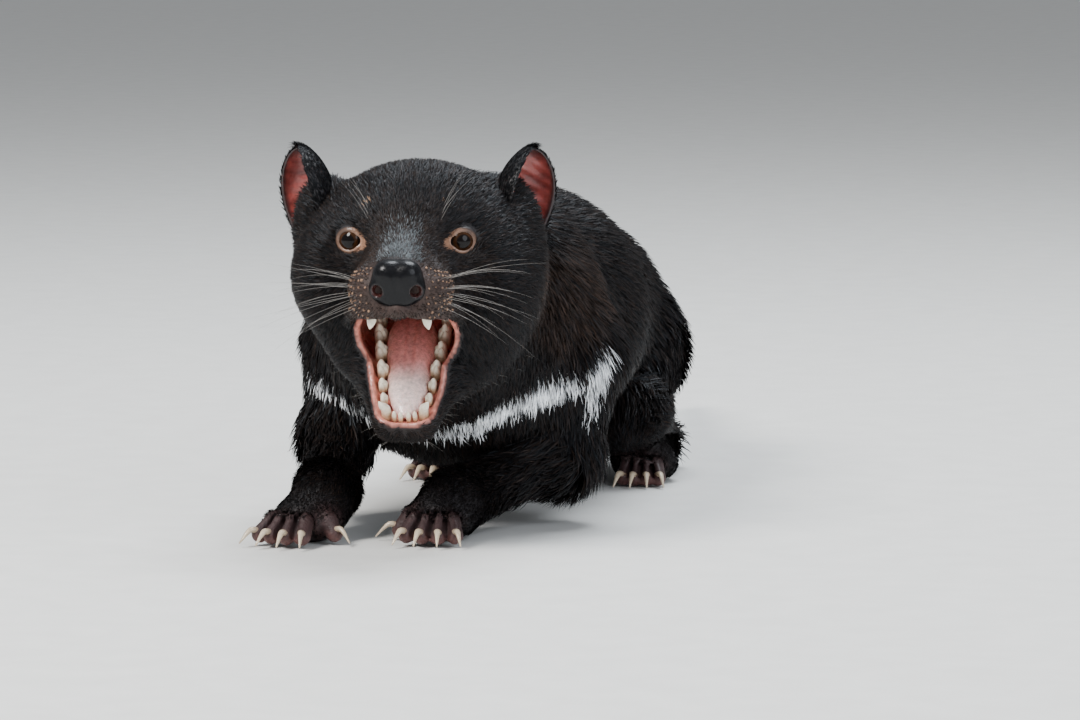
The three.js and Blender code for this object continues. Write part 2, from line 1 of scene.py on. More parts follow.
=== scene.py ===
"""A Tasmanian devil as a museum shows it: skin, coat, eyes, mouth, claws and whiskers on the solids.

The flesh is the same blended form as in the solids, written here with numpy in the animal's own axes:
millimetres, +Z up, facing -Y, with its left side at +X. make_piece moves every piece into the frame.
"""
import math

import bpy
import numpy as np
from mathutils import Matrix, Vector


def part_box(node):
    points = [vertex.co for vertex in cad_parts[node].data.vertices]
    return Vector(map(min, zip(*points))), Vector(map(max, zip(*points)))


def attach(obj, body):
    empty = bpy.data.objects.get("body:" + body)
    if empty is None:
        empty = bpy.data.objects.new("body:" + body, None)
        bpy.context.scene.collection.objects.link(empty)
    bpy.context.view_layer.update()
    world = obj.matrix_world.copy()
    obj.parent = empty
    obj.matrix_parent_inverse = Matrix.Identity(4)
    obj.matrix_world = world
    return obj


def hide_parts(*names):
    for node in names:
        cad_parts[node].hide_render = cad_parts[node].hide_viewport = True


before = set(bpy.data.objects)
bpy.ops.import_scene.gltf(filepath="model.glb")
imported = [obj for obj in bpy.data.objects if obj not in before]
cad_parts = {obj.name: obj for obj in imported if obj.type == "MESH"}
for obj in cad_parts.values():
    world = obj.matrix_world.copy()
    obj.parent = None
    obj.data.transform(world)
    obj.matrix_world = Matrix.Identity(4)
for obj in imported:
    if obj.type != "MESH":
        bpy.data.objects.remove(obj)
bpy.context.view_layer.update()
SEED = 11
rng = np.random.default_rng(SEED)

X, Y, Z = range(3)
BOTH = (1, -1)
SIDE_NAME = {1: "left", -1: "right"}

# Driving dimensions, as in the solids
EYES = np.array([4.0, -239.0, 163.0])
HEAD_YAW = 10
JAW_HINGE = np.array([0.0, 50.0, -22.0])
GAPE = 37
EYE_CENTRE = np.array([27.6, -1.0, 0.6])
EYE_RADIUS = 8.4
EYE_TURN = 20

# Camera, from the photograph's view: 0.52 mm a pixel at the eyes
CAMERA_AZIMUTH = 14
CAMERA_ELEVATION = 6
CAMERA_DISTANCE = 3000
SENSOR = 36
PHOTO_SIZE = (1080, 720)
PHOTO_EYES = (407, 241)
MM_PER_PIXEL = 0.52


def turn_about(axis, degrees):
    """The matrix of a turn about one axis."""
    c, s = math.cos(math.radians(degrees)), math.sin(math.radians(degrees))
    a, b = (axis + 1) % 3, (axis + 2) % 3
    turn = np.eye(3)
    turn[a, a] = turn[b, b] = c
    turn[a, b], turn[b, a] = -s, s
    return turn


class Axes:
    """A part's own axes: its turn and its origin in the animal's axes."""

    def __init__(self, turn, origin):
        self.turn = turn
        self.origin = np.asarray(origin, float)

    def place(self, points):
        return np.asarray(points, float) @ self.turn.T + self.origin

    def local(self, points):
        return (points - self.origin) @ self.turn

    def direction(self, vectors):
        return np.asarray(vectors, float) @ self.turn.T


HEAD = Axes(turn_about(Z, HEAD_YAW), EYES)
JAW_TURN = HEAD.turn @ turn_about(X, GAPE)
JAW = Axes(JAW_TURN, HEAD.place(JAW_HINGE) - JAW_TURN @ JAW_HINGE)
ANIMAL = Axes(np.eye(3), (0, 0, 0))


def mirror(point, side):
    return np.array([side * point[0], point[1], point[2]], float)


def eye_axes(side):
    return Axes(HEAD.turn @ turn_about(Z, side * EYE_TURN), HEAD.place(mirror(EYE_CENTRE, side)))


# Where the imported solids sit: the left eye's box shows how far the frame is shifted
eye_low, eye_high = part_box("eye_left")
SHIFT = (np.array(eye_low) + np.array(eye_high)) / 2 * 1000 - eye_axes(1).origin


# Fields: distances to the surface, below 0 inside

FAR = 30.0  # a shape further from a point than this doesn't change the blend there


def ellipsoid(centre, radii, blend=1.0, axes=ANIMAL):
    """A shape: its field, the box outside which it doesn't count, and how softly it joins."""
    centre, radii = np.asarray(centre, float), np.asarray(radii, float)
    reach = radii.max() + FAR

    def field(points):
        p = (axes.local(points) - centre) / radii
        near = np.linalg.norm(p, axis=1)
        slope = np.linalg.norm(p / radii, axis=1)
        return near * (near - 1) / np.maximum(slope, 1e-9)

    middle = axes.place(centre)
    return field, (middle - reach, middle + reach), blend


def along_line(points, a, b):
    """How far along a line from a to b each point is, from 0 to 1, and how far it is from the line."""
    t = np.clip((points - a) @ (b - a) / ((b - a) @ (b - a)), 0, 1)
    return t, np.linalg.norm(points - a - t[:, None] * (b - a), axis=1)


def limb(start, start_radius, end, end_radius, blend=1.0, axes=ANIMAL):
    """A shape like ellipsoid's: a round bar with a radius at each end."""
    a, b = axes.place(start), axes.place(end)
    reach = max(start_radius, end_radius) + FAR

    def field(points):
        t, away = along_line(points, a, b)
        return away - start_radius - t * (end_radius - start_radius)

    return field, (np.minimum(a, b) - reach, np.maximum(a, b) + reach), blend


def smooth(a, b, blend):
    """The smaller of two distances, with the crease between them filled."""
    h = np.maximum(blend - np.abs(a - b), 0) / blend
    return np.minimum(a, b) - h * h * blend / 4


def join(points, shapes, value=None):
    """The shapes blended in order, onto the values given."""
    value = np.full(len(points), 1e3) if value is None else value.copy()
    for field, (low, high), blend in shapes:
        near = np.all((points > low) & (points < high), axis=1)
        if near.any():
            value[near] = smooth(value[near], field(points[near]), blend)
    return value


def carve(points, value, shapes):
    """The shapes cut out of the values given."""
    return -join(points, shapes, -value)


def head_shape(centre, radii, blend):
    return ellipsoid(centre, radii, blend, HEAD)


SKULL = [
    head_shape([0, 42, 0], [48, 50, 37], 1),
    head_shape([0, 14, -1], [35, 38, 28], 16),
    *[head_shape([s * 37, 30, -20], [26, 38, 31], 18) for s in BOTH],
    *[head_shape([s * 47, 50, 4], [17, 18, 26], 14) for s in BOTH],
    limb([0, 8, -13], 27, [0, -34, -18], 17.5, 12, HEAD),
    *[head_shape([s * 13, -33, -21.5], [14.5, 23, 13.5], 8) for s in BOTH],
    limb([0, -8, -1], 16, [0, -44, -13], 9.5, 10, HEAD),
    head_shape([0, 46, -48], [41, 35, 40], 22),
]
ORBITS = [head_shape([s * 33, -18, 1], [12, 9, 9], 7) for s in BOTH]
PALATE_SIDES = [limb([s * 9, 30, -48], 18, [s * 6.5, -37, -46], 13.5, 4, HEAD) for s in BOTH]
JAW_BONE = [
    *[limb([s * 26, 34, -42], 17, [s * 7.5, -41, -43], 9.8, 8, JAW) for s in BOTH],
    limb([0, 20, -53], 15, [0, -36, -47], 8.5, 10, JAW),
]
TONGUE_BED = [limb([s * 10, 28, -31], 15, [s * 5, -38, -34], 8.2, 4, JAW) for s in BOTH]
THROAT = [ellipsoid([0, 10, -50], [22, 27, 20], 6, HEAD)]
TRUNK = [
    ellipsoid([-2, -98, 106], [74, 82, 74], 1),
    ellipsoid([0, 0, 102], [72, 112, 73], 30),
    ellipsoid([0, 106, 84], [62, 82, 68], 30),
    limb([3, -184, 134], 57, [0, -128, 116], 70, 30),
]
LEG_JOINTS = {
    "forefoot_left": [([56, -108, 92], 33), ([55, -112, 40], 21), ([12, -176, 19], 13.5)],
    "forefoot_right": [([-55, -110, 94], 33), ([-61, -138, 50], 20), ([-52, -196, 25], 13.5)],
    "hindfoot_left": [([34, 122, 72], 38), ([48, 64, 42], 23), ([54, 134, 17], 13)],
    "hindfoot_right": [([-34, 122, 72], 38), ([-48, 64, 42], 23), ([-54, 134, 17], 13)],
}
FEET = {
    "forefoot_left": dict(palm=[9, -190, 12], heading=4, toes=[-24, -8, 8, 24], thumb=-72, length=20),
    "forefoot_right": dict(palm=[-58, -211, 12], heading=-14, toes=[-24, -8, 8, 24], thumb=68, length=20),
    "hindfoot_left": dict(palm=[58, 80, 11], heading=8, toes=[-20, -7, 6, 19], thumb=None, length=18),
    "hindfoot_right": dict(palm=[-58, 80, 11], heading=-8, toes=[-19, -6, 7, 20], thumb=None, length=18),
}
TOE_RADIUS = 5.6
CLAW_LENGTH = 13
TAIL_ROOT, TAIL_TIP = [0, 178, 92], [-10, 398, 36]
TAIL = limb(TAIL_ROOT, 23, TAIL_TIP, 8, 26)


def ahead(angle, reach, point, rise=0.0):
    """A point so far ahead, at an angle from straight ahead on the ground."""
    a = math.radians(angle)
    return np.array([point[0] + reach * math.sin(a), point[1] - reach * math.cos(a), point[2] + rise])


def toes_of(foot):
    """Each toe's heading, root, knuckle and tip; the inner toe of a forefoot comes last."""
    fan = [(foot["heading"] + angle, 12, foot["length"]) for angle in foot["toes"]]
    if foot["thumb"] is not None:
        fan.append((foot["heading"] + foot["thumb"], 10, 12))
    toes = []
    for angle, reach, length in fan:
        root = ahead(angle, reach, foot["palm"], -1)
        knuckle = ahead(angle, length * 0.5, root, 1.5)
        toes.append(dict(angle=angle, root=root, knuckle=knuckle, tip=ahead(angle, length, root, -5)))
    return toes


TOES = {name: toes_of(foot) for name, foot in FEET.items()}
ALL_TOES = [toe for toes in TOES.values() for toe in toes]
TOE_ENDS = [limb(0.5 * toe["knuckle"] + 0.5 * toe["tip"], TOE_RADIUS, toe["tip"], TOE_RADIUS)
            for toe in ALL_TOES]


def leg_shapes(name):
    """A leg from its joints down to the palm and toes."""
    joints, foot = LEG_JOINTS[name], FEET[name]
    shapes = [limb(*joints[0], *joints[1], 16), limb(*joints[1], *joints[2], 16)]
    if name.startswith("fore"):
        shapes.append(limb(*joints[2], foot["palm"], 12, 16))
    else:
        shapes.append(limb(joints[2][0], 12, foot["palm"], 12, 10))
    shapes.append(ellipsoid(foot["palm"], [19, 19, 12], 8))
    for toe in TOES[name]:
        shapes.append(limb(toe["root"], TOE_RADIUS + 0.8, toe["knuckle"], TOE_RADIUS, 3))
        shapes.append(limb(toe["knuckle"], TOE_RADIUS, toe["tip"], TOE_RADIUS - 0.6, 2))
    return shapes


LEGS = {name: leg_shapes(name) for name in LEG_JOINTS}


def mouth_distance(points):
    """How far a point is outside the mouth's hollow."""
    return np.min([join(points, hollow) for hollow in (TONGUE_BED, PALATE_SIDES, THROAT)], axis=0)


def as_shape(shapes, blend):
    """Several shapes as one."""
    low = np.min([box[0] for _, box, _ in shapes], axis=0)
    high = np.max([box[1] for _, box, _ in shapes], axis=0)
    return (lambda points: join(points, shapes)), (low, high), blend


PALATE, BED = as_shape(PALATE_SIDES, 5), as_shape(TONGUE_BED, 4)


def flesh(points):
    """The same form as the solids: head, jaw, trunk, legs and tail, with the mouth hollowed out."""
    head = carve(points, join(points, SKULL), [*ORBITS, PALATE])
    jaw = carve(points, join(points, JAW_BONE), [BED])
    whole = smooth(smooth(head, jaw, 7), join(points, TRUNK), 26)
    for shapes in LEGS.values():
        whole = join(points, shapes, whole)
    whole = join(points, [TAIL], whole)
    return carve(points, whole, [*THROAT, BED, PALATE])


def ramp(low, high, value):
    """From 0 at low to 1 at high, eased at both ends."""
    t = np.clip((value - low) / (high - low), 0, 1)
    return t * t * (3 - 2 * t)


def foot_distance(points):
    """How far a point is from the nearest foot; height counts half as much again."""
    spots = [ahead(foot["heading"], 8, foot["palm"]) for foot in FEET.values()]
    return np.min([np.linalg.norm((points - spot) * [1, 1, 1.5], axis=1) for spot in spots], axis=0)


def toe_distance(points):
    """How far a point is from the nearest bare toe end."""
    return join(points, TOE_ENDS)


# The coat's depth: the least, on muzzle and toes, and what the face, the neck and body, and the legs add
LEAST_DEPTH, FACE_DEPTH, BODY_DEPTH, LEG_DEPTH = 0.5, 2.6, 3.4, 5.5
TAIL_THINNER = 0.45


def coat_depth(points):
    """How thick the coat is: thickest on the neck and body, none in the mouth."""
    p = HEAD.local(points)
    depth = LEAST_DEPTH + FACE_DEPTH * ramp(-30, 20, p[:, 1]) + BODY_DEPTH * ramp(20, 75, p[:, 1])
    depth = np.minimum(depth, LEAST_DEPTH + LEG_DEPTH * ramp(26, 62, foot_distance(points)))
    depth = depth * (1 - TAIL_THINNER * ramp(190, 380, points[:, 1]))
    return depth * ramp(0.5, 9, mouth_distance(points))


def skin_field(points):
    return flesh(points) + coat_depth(points)


# Surface nets

BAND = 4  # grid steps in a coarse block


def sampled(field, low, high, step):
    """The field on a grid: fine in the blocks near the surface, coarse elsewhere, outside at the edges."""
    blocks = np.ceil((high - low) / (step * BAND)).astype(int)
    centres = [low[m] + step * BAND * (np.arange(blocks[m]) + 0.5) for m in range(3)]
    near = field(np.stack(np.meshgrid(*centres, indexing="ij"), -1).reshape(-1, 3)).reshape(blocks)
    value = near.repeat(BAND, 0).repeat(BAND, 1).repeat(BAND, 2)
    value = np.pad(value, [(0, 1)] * 3, mode="edge")
    fine = np.zeros(value.shape, bool)
    for i, j, k in np.argwhere(np.abs(near) < step * BAND * 1.6) * BAND:
        fine[i:i + BAND + 1, j:j + BAND + 1, k:k + BAND + 1] = True
    value[fine] = field(low + np.argwhere(fine) * step)
    for m in range(3):
        for end in (0, -1):
            edge = [slice(None)] * 3
            edge[m] = end
            value[tuple(edge)] = np.maximum(value[tuple(edge)], 1)
    return value


def crossings(value):
    """For each cell, how many of its edges the surface crosses, and the sum of the crossings' places."""
    cells = np.array(value.shape) - 1
    count = np.zeros(cells, np.int8)
    total = np.zeros((*cells, 3))
    for m, a, b in np.ndindex(3, 2, 2):
        n, k = (m + 1) % 3, (m + 2) % 3
        start = [slice(None, -1)] * 3
        start[n] = slice(a, a + cells[n])
        start[k] = slice(b, b + cells[k])
        end = list(start)
        end[m] = slice(1, None)
        v0, v1 = value[tuple(start)], value[tuple(end)]
        cross = (v0 < 0) != (v1 < 0)
        count += cross
        total[..., m] += np.where(cross, v0 / np.where(cross, v0 - v1, 1), 0)
        total[..., n] += a * cross
        total[..., k] += b * cross
    return count, total


def cell_quads(inside, index):
    """A quad facing out round every grid edge that the surface crosses; index numbers the cells' points."""
    quads = []
    for m in range(3):
        here = [slice(0, -1) if n == m else slice(1, -1) for n in range(3)]
        there = list(here)
        there[m] = slice(1, None)
        crossed = np.argwhere(inside[tuple(here)] != inside[tuple(there)])
        crossed = crossed + [0 if n == m else 1 for n in range(3)]
        corners = []
        for db, dc in ((1, 1), (0, 1), (0, 0), (1, 0)):
            cell = crossed.copy()
            cell[:, (m + 1) % 3] -= db
            cell[:, (m + 2) % 3] -= dc
            corners.append(index[tuple(cell.T)])
        square = np.stack(corners, 1)
        outward = inside[tuple(crossed.T)]
        square[~outward] = square[~outward][:, ::-1]
        quads.append(square)
    return np.concatenate(quads)


def net(field, low, high, step):
    """The field's closed surface as quads: one point a crossed cell, moved onto the surface."""
    low, high = np.asarray(low, float), np.asarray(high, float)
    value = sampled(field, low, high, step)
    count, total = crossings(value)
    crossed = count > 0
    index = np.full(count.shape, -1)
    index[crossed] = np.arange(crossed.sum())
    points = low + (np.argwhere(crossed) + total[crossed] / count[crossed][:, None]) * step
    return settle(points, field, step), cell_quads(value < 0, index)


def slope_of(field, points, probe=0.25):
    """The field's values and slopes at the points."""
    value = field(points)
    slope = np.stack([(field(points + probe * np.eye(3)[m]) - value) / probe for m in range(3)], 1)
    return value, slope


def settle(points, field, step, rounds=2):
    """Points moved onto the surface, at most a third of a cell each."""
    moved = points.copy()
    for _ in range(rounds):
        value, slope = slope_of(field, moved)
        square = np.maximum((slope ** 2).sum(1), 0.2)
        shift = np.clip(moved - value[:, None] * slope / square[:, None] - points, -step / 3, step / 3)
        moved = points + shift
    return moved


# Meshes: every piece is built in the animal's axes, then moved into the frame and made metres

PAINT = "paint"


def add_object(name, data):
    made = bpy.data.objects.new(name, data)
    bpy.context.scene.collection.objects.link(made)
    return made


def make_piece(name, points, faces, material, paint=None, uv=None, replaces=()):
    """A mesh riding the body; paint is a colour a point, its fourth number how wet the point is."""
    points, faces = np.asarray(points, float), np.asarray(faces)
    count, sides = faces.shape
    mesh = bpy.data.meshes.new(name)
    mesh.vertices.add(len(points))
    mesh.vertices.foreach_set("co", ((points + SHIFT) / 1000).astype(np.float32).ravel())
    mesh.loops.add(count * sides)
    mesh.loops.foreach_set("vertex_index", faces.astype(np.int32).ravel())
    mesh.polygons.add(count)
    mesh.polygons.foreach_set("loop_start", np.arange(0, count * sides, sides, dtype=np.int32))
    mesh.polygons.foreach_set("use_smooth", np.ones(count, bool))
    mesh.update(calc_edges=True)
    if paint is not None:
        layer = mesh.color_attributes.new(PAINT, "FLOAT_COLOR", "POINT")
        layer.data.foreach_set("color", np.asarray(paint, np.float32).ravel())
    if uv is not None:
        layer = mesh.uv_layers.new(name="OFBake")
        layer.data.foreach_set("uv", np.asarray(uv, np.float32)[faces.ravel()].ravel())
    mesh.materials.append(material)
    piece = add_object(name, mesh)
    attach(piece, "root")
    if replaces:
        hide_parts(*replaces)


def merge(parts):
    """Several (points, faces, paint) as one."""
    start, points, faces, paint = 0, [], [], []
    for part_points, part_faces, part_paint in parts:
        points.append(part_points)
        faces.append(np.asarray(part_faces) + start)
        paint.append(part_paint)
        start += len(part_points)
    return np.concatenate(points), np.concatenate(faces), np.concatenate(paint)


def colour(rgb, count, wet=0.0):
    return np.tile([*rgb, wet], (count, 1)).astype(float)


def blend_colour(paint, rgb, amount, wet=None):
    """The colour laid over the paint by the amount at each point."""
    amount = np.clip(amount, 0, 1)[:, None]
    paint[:, :3] = paint[:, :3] * (1 - amount) + np.asarray(rgb) * amount
    if wet is not None:
        paint[:, 3:] = paint[:, 3:] * (1 - amount) + wet * amount
    return paint


def unit(vectors):
    return vectors / np.maximum(np.linalg.norm(vectors, axis=1), 1e-9)[:, None]


def spline(points, count):
    """A smooth line through the points."""
    points = np.asarray(points, float)
    padded = np.vstack([2 * points[0] - points[1], points, 2 * points[-1] - points[-2]])
    at = np.linspace(0, len(points) - 1, count)
    k = np.minimum(at.astype(int), len(points) - 2)
    t = (at - k)[:, None]
    p0, p1, p2, p3 = padded[k], padded[k + 1], padded[k + 2], padded[k + 3]
    square = 2 * p0 - 5 * p1 + 4 * p2 - p3
    cube = 3 * p1 - p0 - 3 * p2 + p3
    return 0.5 * (2 * p1 + (p2 - p0) * t + square * t ** 2 + cube * t ** 3)


def spline_radii(radii, count):
    return spline(np.array(radii)[:, None], count)[:, 0]


def tube(path, radii, sides, squash=1.0):
    """A closed round tube along a path, its ends drawn together at points."""
    path, radii = np.asarray(path, float), np.asarray(radii, float)
    along = np.gradient(path, axis=0)
    along /= np.linalg.norm(along, axis=1)[:, None]
    across = np.cross(along, [0.31, 0.2, 0.93])
    across /= np.linalg.norm(across, axis=1)[:, None]
    other = np.cross(along, across)
    angle = np.arange(sides) / sides * 2 * math.pi
    ring = np.cos(angle)[None, :, None] * across[:, None]
    ring = ring + squash * np.sin(angle)[None, :, None] * other[:, None]
    points = (path[:, None] + radii[:, None, None] * ring).reshape(-1, 3)
    first = path[0] - along[0] * radii[0] * 0.5
    last = path[-1] + along[-1] * radii[-1] * 0.8
    points = np.vstack([points, first, last])
    rows = len(path)
    k = np.arange(sides)
    step = (k + 1) % sides
    faces = []
    for row in range(rows - 1):
        a, b = row * sides, (row + 1) * sides
        faces += [np.stack([a + k, a + step, b + step], 1), np.stack([a + k, b + step, b + k], 1)]
    end = (rows - 1) * sides
    faces.append(np.stack([np.full(sides, rows * sides), step, k], 1))
    faces.append(np.stack([np.full(sides, rows * sides + 1), end + k, end + step], 1))
    return points, np.concatenate(faces)


def grid_faces(rows, columns, closed=False):
    """The quads of a grid of points, its columns joined round where closed."""
    r, c = np.meshgrid(np.arange(rows - 1), np.arange(columns if closed else columns - 1), indexing="ij")
    following = (c + 1) % columns
    a = r * columns + c
    b = r * columns + following
    return np.stack([a, b, b + columns, a + columns], -1).reshape(-1, 4)


# Materials

def set_inputs(node, **sockets):
    for socket, value in sockets.items():
        node.inputs[socket.replace("_", " ")].default_value = value


def surface(name, tint=None, roughness=(0.5, 0.7), grain=400.0, mottle=(0.75, 1.25), bump=0.3,
            bump_scale=1500.0, bump_depth=0.0004, cells=False, wet_roughness=None, **sockets):
    """A material of painted colour and mottling, with grain in its roughness and its relief."""
    material = bpy.data.materials.new(name)
    material.use_nodes = True
    nodes, links = material.node_tree.nodes, material.node_tree.links
    shader = nodes["Principled BSDF"]

    def add(kind, **inputs):
        node = nodes.new("ShaderNode" + kind)
        set_inputs(node, **inputs)
        return node

    place = add("TexCoord")
    noise = add("TexNoise", Scale=grain, Detail=5)
    links.new(place.outputs["Object"], noise.inputs["Vector"])

    shade = add("MapRange", From_Min=0.3, From_Max=0.7, To_Min=mottle[0], To_Max=mottle[1])
    links.new(noise.outputs["Fac"], shade.inputs["Value"])
    scale = add("VectorMath")
    scale.operation = "SCALE"
    links.new(shade.outputs["Result"], scale.inputs["Scale"])
    if tint is None:
        source = add("VertexColor")
        source.layer_name = PAINT
        links.new(source.outputs["Color"], scale.inputs[0])
    else:
        scale.inputs[0].default_value = tint
    links.new(scale.outputs["Vector"], shader.inputs["Base Color"])

    rough = add("MapRange", To_Min=roughness[0], To_Max=roughness[1])
    links.new(noise.outputs["Fac"], rough.inputs["Value"])
    if wet_roughness is None:
        links.new(rough.outputs["Result"], shader.inputs["Roughness"])
    else:
        wet = add("MapRange", To_Max=wet_roughness)
        links.new(source.outputs["Alpha"], wet.inputs["Value"])
        links.new(rough.outputs["Result"], wet.inputs["To Min"])
        links.new(wet.outputs["Result"], shader.inputs["Roughness"])
        links.new(source.outputs["Alpha"], shader.inputs["Coat Weight"])

    if cells:
        relief = add("TexVoronoi", Scale=bump_scale)
        height = relief.outputs["Distance"]
    else:
        relief = add("TexNoise", Scale=bump_scale, Detail=6)
        height = relief.outputs["Fac"]
    links.new(place.outputs["Object"], relief.inputs["Vector"])
    lift = add("Bump", Strength=bump, Distance=bump_depth)
    links.new(height, lift.inputs["Height"])
    links.new(lift.outputs["Normal"], shader.inputs["Normal"])
    set_inputs(shader, **sockets)
    return material


BLACK_SKIN = (0.010, 0.008, 0.009)
WHITE_SKIN = (0.45, 0.38, 0.36)
MUZZLE_BROWN = (0.036, 0.020, 0.016)
BARE_BROWN = (0.038, 0.019, 0.019)
TOE_PINK = (0.16, 0.065, 0.058)
LIP_PINK = (0.62, 0.22, 0.17)
GUM_RED = (0.55, 0.10, 0.05)
# darker red laid as painted shade at the back of the mouth and of the tongue, and as the tongue's streaks
MOUTH_RED = (0.42, 0.06, 0.04)
TONGUE_RED = (0.66, 0.26, 0.235)
# pale pink laid on the tongue's front as painted light
TONGUE_PAINTED_LIGHT = (0.86, 0.66, 0.62)
COAT_BLACK = (0.0046, 0.0043, 0.0048)
COAT_BROWN = (0.030, 0.017, 0.011)
COAT_WHITE = (0.88, 0.90, 0.93)
# grey laid on tufts over the nose as a painted sheen
BRIDGE_SHEEN_GREY = (0.115, 0.13, 0.14)
PUPIL = (0.004, 0.003, 0.003)
IRIS = (0.045, 0.018, 0.007)
EYE_RIM = (0.03, 0.016, 0.012)
LID_TAN = (0.30, 0.16, 0.10)
NOSE_BLACK = (0.003, 0.003, 0.004)
NOSTRIL_RED = (0.05, 0.018, 0.016)
IVORY = (0.82, 0.75, 0.60)
TOOTH_ROOT = (0.62, 0.45, 0.27)
CLAW = (0.58, 0.47, 0.34)
CLAW_ROOT = (0.20, 0.12, 0.08)
EAR_PINK = (0.27, 0.05, 0.042)
# inside the ear: painted shade in the creases, painted highlight on the ridges, painted shade deep at the
# root
EAR_CREASE_SHADE = (0.10, 0.018, 0.016)
EAR_RIDGE_HIGHLIGHT = (0.70, 0.36, 0.32)
EAR_ROOT_SHADE = (0.14, 0.025, 0.02)
PAD_TAN = (0.40, 0.24, 0.15)
PAD_BROWN = (0.16, 0.09, 0.06)

skin_material = surface("skin", wet_roughness=0.22, roughness=(0.5, 0.75), grain=350, bump=0.5, cells=True,
                        bump_scale=900, bump_depth=0.0005, Coat_Roughness=0.12, Specular_IOR_Level=0.35)
coat_material = surface("coat", roughness=(0.38, 0.52), grain=120, mottle=(0.6, 1.4), bump=0.25,
                        bump_scale=2500, bump_depth=0.0002, Specular_IOR_Level=0.14,
                        Specular_Tint=(0.8, 0.9, 1.0, 1))
eye_material = surface("eyes", roughness=(0.2, 0.3), grain=900, mottle=(0.7, 1.3), bump=0.02, bump_scale=800,
                       Coat_Weight=0.4, Coat_Roughness=0.02, Specular_IOR_Level=0.0)
nose_material = surface("nose", roughness=(0.26, 0.4), grain=700, bump=0.3, cells=True, bump_scale=1300,
                        wet_roughness=0.24, Coat_Roughness=0.08, Specular_IOR_Level=0.12)
tongue_material = surface("tongue", roughness=(0.3, 0.42), grain=500, bump=0.5, cells=True, bump_scale=1300,
                          bump_depth=0.0005, wet_roughness=0.2, Subsurface_Weight=0.15,
                          Subsurface_Scale=0.004, Coat_Roughness=0.15)
bone_material = surface("teeth_and_claws", roughness=(0.22, 0.36), grain=500, mottle=(0.85, 1.1), bump=0.1,
                        bump_scale=900, Coat_Weight=0.4, Coat_Roughness=0.12)
ear_material = surface("ears", roughness=(0.42, 0.6), grain=300, bump=0.4, bump_scale=900, wet_roughness=0.35,
                       Subsurface_Weight=0.2, Subsurface_Scale=0.003)
whisker_material = surface("whiskers", tint=(0.22, 0.205, 0.19), roughness=(0.3, 0.4), grain=200, bump=0.05)


# Skin

SKIN_STEP = 2.0
SKIN_LOW, SKIN_HIGH = [-88, -316, -6], [88, 412, 214]
SKIN_LIFT, TUFT_LIFT = 0.4, 0.3  # how far soles and tufts stay off the floor
FLESH_NODES = ["head", "jaw", "neck", "torso", "tail"]
FLESH_NODES += [f"{part}_{side}" for part in ("upper_foreleg", "forearm", "forepaw", "thigh", "hindfoot")
                for side in ("left", "right")]
EYE_BOWLS = [ellipsoid([0, -10, 0], [8.5, 8, 6.5], 3, eye_axes(s)) for s in BOTH]
UPPER_LIP = [(0, -54, -31.2), (10, -50, -31.4), (16.5, -45, -32.2), (22, -34, -33.4), (25.5, -18, -35),
             (28, 0, -40)]
LIP_ROLLS = [limb(mirror(a, s), 3.2, mirror(b, s), 3.2, 5, HEAD) for s in BOTH
             for a, b in zip(UPPER_LIP, UPPER_LIP[1:])]


def toe_clefts(toes):
    """Grooves over the foot between neighbouring toes."""
    clefts = []
    for a, b in zip(toes, toes[1:]):
        start = (a["root"] + b["root"]) / 2 + [0, 0, 5.5]
        middle = (a["knuckle"] + b["knuckle"]) / 2 + [0, 0, 3.2]
        end = (a["tip"] + b["tip"]) / 2 + [0, 0, 1.5]
        clefts += [limb(start, 0.8, middle, 1.7, 2.5), limb(middle, 1.7, end, 2.2, 2.5)]
    return clefts


CLEFTS = [cleft for toes in TOES.values() for cleft in toe_clefts(toes[:4])]


def skin_form(points):
    return carve(points, join(points, LIP_ROLLS, skin_field(points)), [*EYE_BOWLS, *CLEFTS])


# White markings: lines of (point, half width) on the chest and shoulder, in the animal's axes
CRESCENT = [([-78, -132, 91], 2), ([-71, -141, 85], 3), ([-62, -149, 81], 3.5), ([-46, -161, 74], 3.5),
            ([-38, -167, 71], 3.5), ([-24, -171, 66], 4), ([-8, -174, 62], 4), ([7, -173, 61], 4.5),
            ([24, -171, 66], 4.5), ([34, -171, 73], 4.5), ([46, -165, 79], 5), ([57, -155, 87], 6),
            ([65, -142, 88], 5), ([71, -135, 87], 3)]
SHOULDER = [([80, -124, 104], 3), ([78, -129, 97], 6), ([77, -127, 89], 5.5), ([76, -126, 80], 4),
            ([74, -126, 71], 2.5), ([72, -125, 65], 1)]
INNER_CORNERS = [limb([s * 22, -8, -0.3], 5.0, [s * 13.2, -17.5, -2.8], 1.3, 1, HEAD) for s in BOTH]
BROW_SPOTS = [head_shape([s * 17, -1, 15], [4.5, 6, 4.5], 1) for s in BOTH]
BROWN_SHOULDER = [ellipsoid([64, -150, 134], [16, 44, 20], 1)]


def white_of(points):
    """1 inside the white markings, 0 outside them."""
    best = np.zeros(len(points))
    for line in (CRESCENT, SHOULDER):
        for (a, a_width), (b, b_width) in zip(line, line[1:]):
            t, away = along_line(points, np.asarray(a, float), np.asarray(b, float))
            best = np.maximum(best, 1 - ramp(0.75, 1.15, away / (a_width + t * (b_width - a_width))))
    return best


